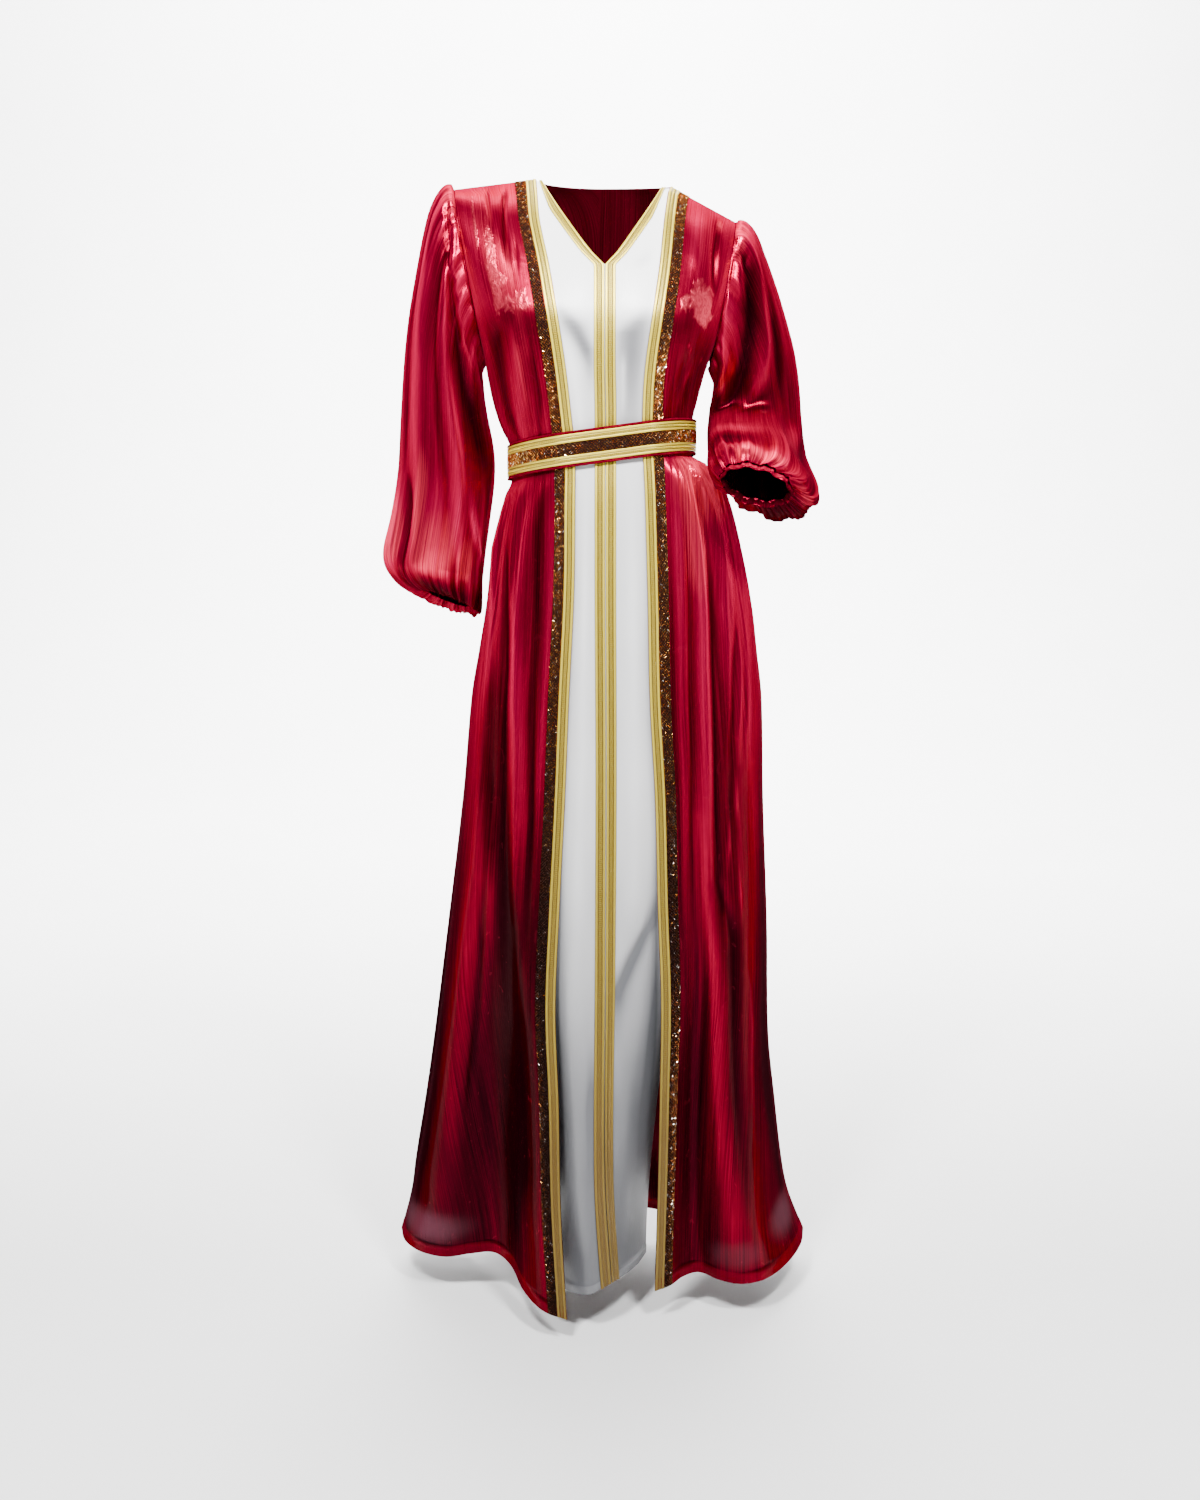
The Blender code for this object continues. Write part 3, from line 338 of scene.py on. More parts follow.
def gather_weight(z):
    """How deep the belt's gathers are at a height."""
    if z < BELT_LEVEL:
        away, end = BELT_LEVEL - z, GATHER_END_BELOW
    else:
        away, end = z - BELT_LEVEL, GATHER_END_ABOVE
    return float(smooth(GATHER_NEAR, GATHER_FULL, away) * (1.0 - smooth(GATHER_FULL, end, away)))


def fold_weight(level):
    """How much of the hem's folded shape a level has: none above the thighs, all at the hem."""
    return float(smooth(0.0, 1.0, (FOLD_TOP - level) / (FOLD_TOP - HEM_LEVEL)))


def fitted(hem, start, end, level):
    """The hem's line moved to a level and stretched to that level's own two ends."""
    share = (hem[:, 0] - hem[0, 0]) / (hem[-1, 0] - hem[0, 0])
    return np.column_stack(
        [
            start[0] + (end[0] - start[0]) * share,
            hem[:, 1] + (start[1] - hem[0, 1]) * (1 - share) + (end[1] - hem[-1, 1]) * share,
            hem[:, 2] + level - HEM_LEVEL,
        ]
    )


def armhole(side, turn):
    """A point on the armhole: 0 is the shoulder tip, 0.5 the underarm, front first."""
    tip, under = np.array(TIP[side]), np.array(UNDERARM[side])
    angle = 2.0 * math.pi * turn
    depth = np.array([0.0, -ARMHOLE_HALF_DEPTH, 0.0])
    return (tip + under) / 2 + math.cos(angle) * (tip - under) / 2 + math.sin(angle) * depth


def armhole_normal(side):
    """Unit vector square to the armhole's plane, away from the body."""
    rise = np.array(TIP[side]) - np.array(UNDERARM[side])
    normal = unit(np.cross(rise, [0.0, 1.0, 0.0]))
    return normal if normal[0] * SIGN[side] > 0 else -normal


def edge_point(side, z):
    """A front edge's point at a nominal height."""
    row = curve(EDGES, z)
    return np.array([row[1], row[2], z] if side == "right" else [row[3], row[4], z])


def side_seam(side, z):
    """A side seam's point at a nominal height."""
    row = curve(FIGURE, z)
    return np.array([row[1] if side == "right" else row[2], row[3], z])


def hung(points, level, outward, wave, hem, shares):
    """A plain line with the belt's gathers, the hem's shape and the belt's tilt."""
    points[:, :2] += outward * (GATHER_DEPTH * gather_weight(level) * wave)[:, None]
    weight = fold_weight(level)
    if weight > 0.0:
        line = fitted(along(hem, shares), points[0], points[-1], level)
        points = points * (1 - weight) + line * weight
    return tilted(points)


def front_row(side, level):
    """The front panel's outer line at a level, from its front edge to the armhole or side seam."""
    t = np.linspace(0.0, 1.0, FRONT_SAMPLES)
    sine, cosine = np.sin(t * math.pi / 2), np.cos(t * math.pi / 2)
    if level > UNDERARM_LEVEL:
        top = NECK[side][2]
        share = (top - level) / (top - UNDERARM_LEVEL)
        outer = armhole(side, share / 2)
        roundness = float(smooth(0.0, 1.0, share)) ** CHEST_ROUNDING
    else:
        outer = side_seam(side, level)
        roundness = 1.0
    edge = np.array(NECK[side]) if level >= NECK[side][2] else edge_point(side, level)
    across = (1 - roundness) * t + roundness * sine
    depth = (1 - roundness) * (1 - t) + roundness * cosine
    points = np.column_stack([
        edge[0] + (outer[0] - edge[0]) * across,
        outer[1] + (edge[1] - outer[1]) * depth,
        edge[2] + (outer[2] - edge[2]) * t,
    ])
    away = (np.abs(points[:, 0]) - BUST_X) ** 2 + (points[:, 2] - BUST_Z) ** 2
    points[:, 1] -= BUST_FULLNESS * np.exp(-away / BUST_SPREAD**2) * cosine**SEAM_FADE
    wave = np.sin(2 * math.pi * GATHERS_FRONT * t) * np.sin(math.pi * t) ** SEAM_FADE
    outward = np.column_stack([SIGN[side] * sine, -cosine])
    return hung(points, level, outward, wave, HEM_FRONT[side], t)


def back_row(level):
    """The back's outer line at a level, from the wearer's right side to the left."""
    u = np.linspace(-1.0, 1.0, BACK_SAMPLES)
    sine, back = np.sin(u * math.pi / 2), np.cos(u * math.pi / 2)
    top = NECK["right"][2]
    if level > UNDERARM_LEVEL:
        share = (top - level) / (top - UNDERARM_LEVEL)
        ends = {side: armhole(side, 1.0 - share / 2) for side in SIDES}
        centre_z = BACK_NECK_Z + (UNDERARM_LEVEL - BACK_NECK_Z) * share
        centre_y = BACK_UNDERARM_Y - BACK_LEAN * (1.0 - share) ** BACK_LEAN_POWER
    else:
        share = 1.0
        ends = {side: side_seam(side, level) for side in SIDES}
        centre_z = level
        centre_y = curve(FIGURE, level)[4]
    end = np.where(u[:, None] < 0, ends["right"], ends["left"])
    out = np.abs(sine)
    plain = np.column_stack([
        end[:, 0] * out,
        end[:, 1] + (centre_y - end[:, 1]) * back**BACK_FLATNESS,
        centre_z + (end[:, 2] - centre_z) * out**2,
    ])
    if share < 1.0:
        weight = 1.0 - float(smooth(0.0, 0.5, share))
        tip = np.where(u[:, None] < 0, TIP["right"], TIP["left"])
        line = shoulder_line(u) + (end - tip) * out[:, None] ** 2
        plain = plain * (1 - weight) + line * weight
    wave = np.cos(math.pi * GATHERS_BACK * u) * back**SEAM_FADE
    outward = np.column_stack([sine, back])
    return hung(plain, level, outward, wave, HEM_BACK, (u + 1) / 2)


def shoulder_line(u):
    """Both shoulder seams and the back neck between them, for u from -1 to 1."""
    points = np.zeros((len(u), 3))
    for k, value in enumerate(u):
        side = "right" if value < 0 else "left"
        neck, tip = np.array(NECK[side]), np.array(TIP[side])
        size = abs(value)
        if size >= BACK_NECK_SHARE:
            points[k] = neck + (tip - neck) * (size - BACK_NECK_SHARE) / (1 - BACK_NECK_SHARE)
            continue
        angle = size / BACK_NECK_SHARE * math.pi / 2
        points[k] = (
            neck[0] * math.sin(angle),
            BACK_NECK_DEPTH * math.cos(angle),
            BACK_NECK_Z + (neck[2] - BACK_NECK_Z) * (1 - math.cos(angle)),
        )
    return points


def ring_table(side):
    """A sleeve's rings: number, centre, outer half-vector and front half-vector of each."""
    step = armhole_normal(side) * ARMHOLE_GAP
    head = (*(TIP[side] + step), *(UNDERARM[side] + step), ARMHOLE_HALF_DEPTH, 0)
    rows = []
    for number, row in enumerate([head, *SLEEVE_RINGS[side]]):
        outer, inner = np.array(row[:3]), np.array(row[3:6])
        depth, raised = row[6], math.radians(row[7])
        front = (0.0, -depth * math.cos(raised), depth * math.sin(raised))
        rows.append([number, *(outer + inner) / 2, *(outer - inner) / 2, *front])
    return np.array(rows)


def body_reach(side):
    """The robe's lines near a sleeve, each one sorted by depth."""
    rows = []
    for level in LEVELS:
        if SLEEVE_NEAR[0] < level < SLEEVE_NEAR[1]:
            back = back_row(level)
            half = back[: len(back) // 2] if side == "right" else back[len(back) // 2 :][::-1]
            ring = np.vstack([front_row(side, level), half])
            rows.append(ring[np.argsort(ring[:, 1])])
    return rows


def kept_clear(points, side, rows, gap):
    """Points moved out sideways until they are a gap clear of the robe."""
    moved = points.copy()
    for k, (x, y, z) in enumerate(points):
        heights = [np.interp(y, row[:, 1], row[:, 2]) for row in rows]
        reach = [np.interp(y, row[:, 1], np.abs(row[:, 0])) for row in rows]
        least = np.interp(-z, [-height for height in heights], reach) + gap
        moved[k, 0] = SIGN[side] * max(abs(x), least)
    return moved


def ramp(stops, share, drop=1.0):
    """Rises between the first two stops and falls by drop between the last two."""
    rise, fall = smooth(stops[0], stops[1], share), smooth(stops[2], stops[3], share)
    return float(rise * (1.0 - drop * fall))


def sleeve_wave(share, angle):
    """Outward offset of a sleeve at a share of its length and an angle from its outer side."""
    head = ramp(HEAD_RAMP, share)
    cuff = ramp(CUFF_RAMP, share, CUFF_DROP)
    middle = ramp(LONG_FOLD_RAMP, share)
    top = (0.5 + 0.5 * np.cos(angle)) ** HEAD_TOP_POWER
    return (
        HEAD_DEPTH * head * top * np.cos(HEAD_GATHERS * angle)
        + CUFF_DEPTH * cuff * np.cos(CUFF_GATHERS * angle)
        + LONG_FOLD_DEPTH * middle * np.sin(LONG_FOLDS * angle + LONG_FOLD_TWIST * share)
    )


def hull(points):
    """The convex outline of points in plan, counter-clockwise."""
    points = sorted({(round(float(x), 6), round(float(y), 6)) for x, y in points})

    def half(ordered):
        line = []
        for point in ordered:
            while len(line) > 1:
                (ax, ay), (bx, by) = line[-2], line[-1]
                if (bx - ax) * (point[1] - ay) - (by - ay) * (point[0] - ax) > 0:
                    break
                line.pop()
            line.append(point)
        return line[:-1]

    return np.array(half(points) + half(points[::-1]))


def belt_ring(offset, height):
    """A taut closed line round the waist and its trims, at a height on the band."""
    around = np.vstack([
        line[::BELT_SAMPLE_STEP, :2] for level in BELT_OVER
        for line in (front_row("right", level), front_row("left", level), back_row(level))
    ])
    circle = np.linspace(0.0, 2 * math.pi, BELT_SPREAD_SIDES, endpoint=False)
    spread = np.column_stack([np.cos(circle), np.sin(circle)]) * offset
    outline = hull((around[:, None] + spread[None]).reshape(-1, 2))
    loop = np.vstack([outline, outline[:1]])
    loop = np.column_stack([loop, np.zeros(len(loop))])
    length = arc_lengths(loop)[-1]
    ring = resample(loop, np.linspace(0.0, length, BELT_SIDES, endpoint=False))
    ring[:, 2] = BELT_LEVEL + height + BELT_RISE_X * ring[:, 0] + BELT_RISE_Y * ring[:, 1]
    return ring


# Looks: shells, mesh steps and the cloth's own folds
SHELL = 0.0007
ROW_STEP = 0.007
FINE_SIDE = 84
FINE_TRIM = 8
FINE_BACK = 91
FINE_PANEL = 14
FINE_BRAID = 4
# Sleeve: rings, sides, and how often each place in SLEEVE_EASE is evened out
FINE_SLEEVE = (150, 180, (60, 60))
SLEEVE_EASE = ((0.5, 0.6), (0.06, 0.12))
INNER_SHARE = 0.3
SHARP_CLOTH, SHARP_TRIM = 70, 60

# Turned hems: depth, thickness, and the close rows where the turned strip begins
HEM_TURN = 0.017
HEM_LIFT = 0.0006
PANEL_TURN = 0.012
HEM_CLEAR, HEM_STEP = 0.002, 0.0004

# Under the arms the plain grids are evened out: height, reach and how often
UNDERARM_EASE = (-0.225, 0.10, 60)

# Shares across between which the folds stand at their full height, then painted shading for the
# gathers' ridges, the belt's band (set darker all over), the cuffs and the sleeves' length
EDGE_FADE = {"front": (0.04, 0.95), "back": (0.03, 0.97), "panel": (0.3, 0.7)}
GATHER_PAINTED_SHADING = 150.0
BELT_SHADE = -0.2
CUFF_PAINTED_SHADING = {"right": (0.0, -0.7), "left": (0.9, -0.7)}
SLEEVE_PAINTED_SHADING = {
    # shares of the length, shade at each
    "right": ((0.0, 0.2, 0.55, 0.7, 0.85, 1.0), (0.10, 0.15, 0.20, 0.25, -0.1, -0.3)),
    "left": ((0.0, 0.15, 0.4, 0.6, 0.8, 1.0), (0.10, -0.05, -0.15, -0.35, -0.3, -0.2)),
}


def unpacked(folds, scale):
    """Fold paths from a table: columns scaled, and the heights and shades left out set to 0."""
    return {
        name: [[(*np.divide(row[:3], scale), *row[3:], 0, 0)[:5] for row in fold] for fold in group]
        for name, group in folds.items()
    }


# Folds, given one by one. Each is a path down the cloth: heights in millimetres, above zero on
# ridges, below in valleys. Shade is painted light and shade: ridges lighter, valleys darker.
# The first three columns are in hundredths, and zeros at the end of a row are left out.
FRONT_FOLDS = unpacked({
    # z, share across from the trims to the side seam, half width, height, shade
    "right": [
        [(-36, 5, 3), (-42, 4, 3.5, 3, .5), (-60, 3, 3.5, 3, .6), (-75, 4, 3.5, 3, .55),
         (-85, 4, 3, 2, .2), (-95, 3, 3)],
        [(-36, 12, 3), (-42, 15, 3.5, -4, -.7), (-52, 14, 3.5, -4, -.7), (-60, 13, 3, -4, -.6),
         (-69, 11, 3, -4, -.6), (-80, 8.5, 3, -4, -.6), (-95, 9, 3, -2, -.3), (-100, 9, 3)],
        [(-36, 26, 5), (-42, 32, 6, 3, .3), (-52, 34, 6, 5, .6), (-60, 27, 6, 6, .75),
         (-69, 22, 5.5, 6, .75), (-79, 20, 5, 5, .6), (-88, 19, 4, 3, .3), (-95, 19, 4)],
        [(-40, 50, 2.5), (-52, 45, 3, -4, -.6), (-60, 39, 3, -4, -.6), (-69, 35, 3.5, -4, -.6),
         (-79, 32, 4.5, -4, -.6), (-89, 29, 7, -4, -.7), (-99, 25, 11, -5, -.8),
         (-109, 21, 12, -6, -.8), (-119, 22, 12, -6, -.8), (-130, 23, 10, -5, -.7),
         (-138, 30, 8, -3, -.5), (-145, 33, 6, 0, -.2)],
        [(-37, 66, 5), (-45, 74, 6, 4, .45), (-52, 68, 6, 4, .5), (-60, 62, 6, 3, .35),
         (-68, 58, 5)],
        [(-56, 52, 5), (-66, 49, 8, -3, -.35), (-76, 46, 9, -3, -.4), (-85, 42, 6, 0, -.1),
         (-90, 42, 5)],
        [(-70, 60, 7), (-79, 56, 8, 4, .35), (-89, 55, 9, 5, .5), (-99, 59, 9, 6, .6),
         (-109, 62, 9, 6, .6), (-119, 65, 9, 6, .5), (-128, 68, 9, 5, .4), (-137, 70, 9, 4, .3),
         (-144, 70, 8)],
        [(-88, 49, 2), (-99, 49, 2, -3, -.4), (-109, 51, 2, -3, -.4), (-119, 56, 2, -2, -.3),
         (-126, 58, 2)],
        [(-84, 42, 3), (-91, 41, 3.5, 3, .45), (-99, 43, 3.5, 3, .4), (-109, 47, 3, 2, .2),
         (-115, 50, 3)],
        [(-60, 93, 6), (-75, 92, 8, 0, -.2), (-90, 93, 10, -2, -.5), (-110, 92, 10, -3, -.6),
         (-130, 92, 10, -3, -.6), (-142, 95, 8, 0, -.3)],
        [(-128, 10, 10), (-138, 10, 12, 2, .3), (-145, 12, 12, 2, .35), (-147, 12, 12, 2, .3)],
        [(-100, 1.5, 1.5), (-110, 1.5, 1.5, 0, .3), (-140, 1.5, 1.5, 0, .3),
         (-146, 1.5, 1.5, 0, .1)],
        [(1, 17, 3), (0, 19, 4, -4, -.6), (-3, 25, 4.5, -4, -.7), (-6, 28, 4.5, -4, -.7),
         (-8.5, 28, 4)],
        [(-5, 12, 2), (-7, 13, 3, -2, -.4), (-9.5, 16, 3)],
        [(1, 46, 2), (0, 48, 3, -3, -.4), (-3, 46, 3, -3, -.4), (-5, 45, 3)],
        [(-14, 26, 6), (-18, 25, 7, 3, .4), (-25, 30, 7, 3, .45), (-30, 40, 6, 2, .3),
         (-32, 42, 5)],
        [(-13, 50, 12), (-16, 52, 14, -3, -.6), (-22, 55, 12, -4, -.6), (-28, 52, 8, -3, -.5),
         (-32, 50, 6)],
        [(-15, 10, 2), (-20, 10, 3, -3, -.4), (-25, 9, 3, -3, -.5), (-30, 14, 3, -2, -.4),
         (-32, 15, 2)],
    ],
    "left": [
        [(-36, 2, 2), (-50, 2, 2.5, -3, -.5), (-70, 2, 2, -2, -.4), (-90, 2, 2, -2, -.3),
         (-100, 2, 2)],
        [(-36, 10, 3), (-42, 10, 4, 3, .4), (-60, 9, 4, 3, .35), (-79, 6, 4, 2, .3), (-95, 6, 4)],
        [(-38, 17, 2), (-45, 17, 2.5, -3, -.4), (-52, 16, 2.5, -4, -.5), (-60, 15, 2.5, -4, -.5),
         (-69, 14, 2.5, -4, -.5), (-79, 12, 3, -4, -.4), (-95, 12, 5, -3, -.3),
         (-110, 12, 6, -3, -.3), (-125, 13, 6, -2, -.3), (-140, 14, 5)],
        [(-38, 27, 4), (-45, 26, 4, 4, .5), (-52, 25, 4.5, 6, .65), (-60, 24, 4.5, 6, .7),
         (-69, 23, 5, 6, .7), (-79, 21, 5.5, 6, .65), (-89, 20, 5, 5, .55), (-99, 24, 5.5, 6, .65),
         (-109, 26, 6, 6, .6), (-119, 28, 6, 6, .5), (-128, 31, 7, 5, .45), (-137, 34, 7, 4, .4),
         (-145, 35, 6, 0, .1)],
        [(-40, 38, 3), (-50, 36, 4, -4, -.6), (-60, 34, 3.5, -5, -.6), (-69, 32, 3, -5, -.6),
         (-79, 30, 3, -5, -.6), (-89, 29, 3, -4, -.5), (-96, 37, 5, -4, -.6),
         (-109, 37, 4, -4, -.5), (-119, 39, 4, -4, -.5), (-130, 42, 4, -2, -.3), (-138, 44, 4)],
        [(-44, 50, 4), (-52, 46, 4, 4, .4), (-60, 45, 4, 4, .35), (-70, 44, 3)],
        [(-54, 58, 3), (-60, 57, 3, 3, .35), (-69, 51, 3, 3, .35), (-74, 50, 3)],
        [(-50, 72, 4), (-60, 68, 5, 3, .25), (-69, 61, 5, 3, .25), (-76, 60, 4)],
        [(-50, 60, 3), (-60, 51, 3, -3, -.3), (-69, 46, 3, -3, -.3), (-78, 43, 4, -2, -.3),
         (-85, 42, 3)],
        [(-73, 47, 1.2), (-78, 47, 1.4, 2, .8), (-82, 46, 1.2)],
        [(-80, 40, 1.2), (-84, 38, 1.4, 2, .6), (-88, 37, 1.2)],
        [(-87, 45, 1.2), (-91, 46, 1.4, 2, .8), (-95, 46, 1.2)],
        [(-90, 34, 1.4), (-94, 33, 1.8, 2, .7), (-100, 34, 1.4)],
        [(-102, 52, 2), (-110, 53, 3, 3, .4), (-120, 51, 3, 3, .4), (-128, 50, 3)],
        [(-55, 93, 8), (-70, 90, 10, -2, -.3), (-85, 88, 12, -3, -.5), (-100, 85, 14, -4, -.7),
         (-110, 83, 15, -5, -.9), (-120, 82, 13, -5, -.9), (-130, 84, 10, -3, -.6),
         (-138, 86, 8, 0, -.3)],
        [(-34.5, 30, 2), (-36, 35, 2, 3, .8), (-38.5, 42, 2, 3, .8), (-41, 45, 2)],
        [(-34.5, 75, 3), (-36, 70, 3, 3, .8), (-39, 55, 3, 3, .8), (-41, 50, 3)],
        [(-35, 52, 4), (-38, 52, 5, -3, -.3), (-42, 50, 4)],
        [(0, 25, 10), (-2, 25, 15, 0, .3), (-7, 25, 15, 2, .3), (-9, 30, 10)],
        [(0, 62, 6), (-2, 62, 8, -3, -.5), (-6, 62, 8, -4, -.6), (-9, 66, 8, -3, -.5),
         (-10.5, 70, 6)],
        [(-17, 22, 1.2), (-17.8, 26, 1.4, 2, 1), (-18.8, 32, 1.2)],
        [(-19, 52, 2), (-20, 55, 2, 2, .8), (-21.5, 50, 2)],
        [(-14, 50, 20), (-18, 50, 25, 0, -.3), (-25, 40, 25, 0, -.35), (-30, 40, 20)],
        [(-20, 35, 4), (-23, 30, 5, 3, .35), (-28, 20, 5, 2, .3), (-31, 15, 4)],
    ],
}, 100)

# Long folds down the back: share across at the top and at the bottom, height, painted shade
BACK_LONG = [
    (.05, .03, 3, .3), (.08, .08, -4, -.6), (.13, .12, 6, .6), (.18, .16, -3, -.4),
    (.22, .21, 3, .3), (.27, .27, -6, -.8), (.33, .34, 7, .7), (.39, .41, -3, -.4),
    (.44, .45, 3, .3), (.48, .49, -6, -.7), (.54, .54, 4, .4), (.58, .61, -3, -.4),
    (.65, .68, 7, .7), (.71, .74, -5, -.7), (.76, .78, 3, .3), (.82, .86, -6, -.7),
    (.87, .91, 4, .5), (.93, .95, -3, -.4),
]
BACK_WIDTH = (.016, .022)
BACK_REACH = (-0.35, -0.50, -1.15, -1.45)
BODICE_LONG = [
    (.16, .24, 3, .5), (.24, .31, -3, -.5), (.36, .39, 2, .4), (.45, .45, -3, -.5),
    (.53, .52, 3, .5), (.6, .57, -2, -.4), (.7, .64, 3, .5), (.8, .71, -3, -.5),
]
BODICE_WIDTH = (.020, .012)
BODICE_REACH = (-0.06, -0.17, -0.26, -0.31)

# White panel: the same columns, with the share across from its braid to the robe. Some of its
# paths are painted grey shade alone, below the chest and along the robe's edges.
PANEL_FOLDS = unpacked({
    "right": [
        [(-12.5, 100, 10), (-14, 90, 25, 0, -.9), (-16, 60, 35, 0, -1.3), (-19, 25, 30, 0, -1.3),
         (-21, 15, 25, 0, -.9), (-24, 10, 20, 0, -.3), (-26, 10, 20)],
        [(-17, 95, 20), (-22, 80, 30, 2, .5), (-28, 70, 30, 2, .4), (-32, 60, 30, 0, .2)],
        [(-36, 50, 20), (-50, 50, 25, 3, .3), (-80, 50, 25, 3, .2), (-110, 55, 25, 3, .15),
         (-140, 60, 20)],
        [(-36, 100, 12, 0, -.3), (-80, 100, 12, 0, -.4), (-140, 100, 12, 0, -.4)],
        [(-108, 8, 10), (-118, 8, 12, -2, -.4), (-130, 8, 10)],
    ],
    "left": [
        [(-13, 90, 15), (-15, 75, 35, 0, -.9), (-17, 50, 60, 0, -1.3), (-21, 50, 60, 0, -1.1),
         (-25, 50, 60, 0, -.8), (-31, 50, 60, 0, -.5)],
        [(-19, 25, 10), (-22, 25, 12, 2, .5), (-27, 25, 12, 2, .4), (-30, 25, 10)],
        [(-6, 60, 20), (-8, 60, 25, 0, -.5), (-9.5, 60, 20)],
        [(-36, 55, 20), (-50, 55, 25, 3, .3), (-75, 50, 25, 3, .2), (-90, 45, 25, 2, .1),
         (-96, 40, 20)],
        [(-90, 100, 10), (-94.5, 85, 15, -4, -.7), (-98.5, 50, 20, -5, -.9),
         (-103, 10, 25, -4, -.8), (-107, 5, 20, 0, -.3), (-112, 0, 20)],
        [(-36, 100, 12, 0, -.3), (-80, 100, 12, 0, -.5), (-140, 100, 12, 0, -.5)],
    ],
}, 100)

# Painted shading down each piece, lighter up top and darker towards the hem: z, shade
LEVEL_PAINTED_SHADING = {
    "right": [
        (.03, .3), (-.12, .3), (-.14, -.05), (-.2, -.1), (-.3, 0), (-.36, .1), (-.6, .05),
        (-.75, -.22), (-.9, -.6), (-1.1, -.98), (-1.3, -1.08), (-1.47, -.85),
    ],
    "left": [
        (.03, .25), (-.09, .25), (-.15, -.15), (-.3, -.2), (-.34, .5), (-.42, .55), (-.55, .18),
        (-.8, -.22), (-1, -.52), (-1.2, -.72), (-1.47, -.65),
    ],
    "back": [
        (.03, -.1), (-.3, -.25), (-.6, -.2), (-.9, -.4), (-1.47, -.7),
    ],
    "panel": [
        (.03, 1.2), (-.135, 1.2), (-.155, .5), (-.2, .35), (-.33, .3), (-.36, .35), (-.6, .1),
        (-.8, -.1), (-1, -.45), (-1.2, -1), (-1.45, -1.25),
    ],
}

# Pink patches of painted highlight, crumpled ones (with a crumpled bump) and streaked ones, and
# sheer grey ones: z, share across, half height, half width, strength
CRUMPLED_HIGHLIGHT = {
    "right": [
        (-.045, .72, .045, .035, .8), (-.075, .52, .032, .1, 1), (-.113, .42, .024, .13, .9),
        (-.124, .18, .014, .16, .7),
    ],
    "left": [
        (-.112, .4, .024, .24, 1), (-.126, .5, .016, .18, .9), (-.12, .12, .012, .08, .7),
        (-.375, .55, .022, .4, .5),
    ],
}
STREAKED_HIGHLIGHT = {
    "right": [
        (-.02, .6, .05, .2, .25), (-.09, .45, .04, .25, .35), (-.17, .2, .1, .08, .3),
    ],
    "left": [
        (-.05, .4, .05, .2, .15), (-.385, .45, .04, .36, 1), (-.45, .25, .06, .12, .6),
    ],
}
SHEER = {
    "right": [
        (-1.425, .78, .024, .2, 1),
    ],
    "left": [
        (-1.405, .76, .026, .15, 1), (-1.425, .36, .02, .14, .45),
    ],
}
PATCHES = {"crumpled": CRUMPLED_HIGHLIGHT, "sheer": SHEER, "streaked": STREAKED_HIGHLIGHT}

# Fine gathers at the belt: how many, then their width, reach down, reach up and height
PLEATS_FRONT, PLEATS_BACK = 26, 44
PLEAT_WIDTH = (0.22, 0.42)
PLEAT_REACH = (0.12, 0.42)
PLEAT_ABOVE = 0.45
PLEAT_START = (0.024, 0.045)
PLEAT_HEIGHT = 0.0018
BACK_SEED, SEQUIN_SEED, BELT_SEED, CUFF_SEED = 9, 11, 5, 31
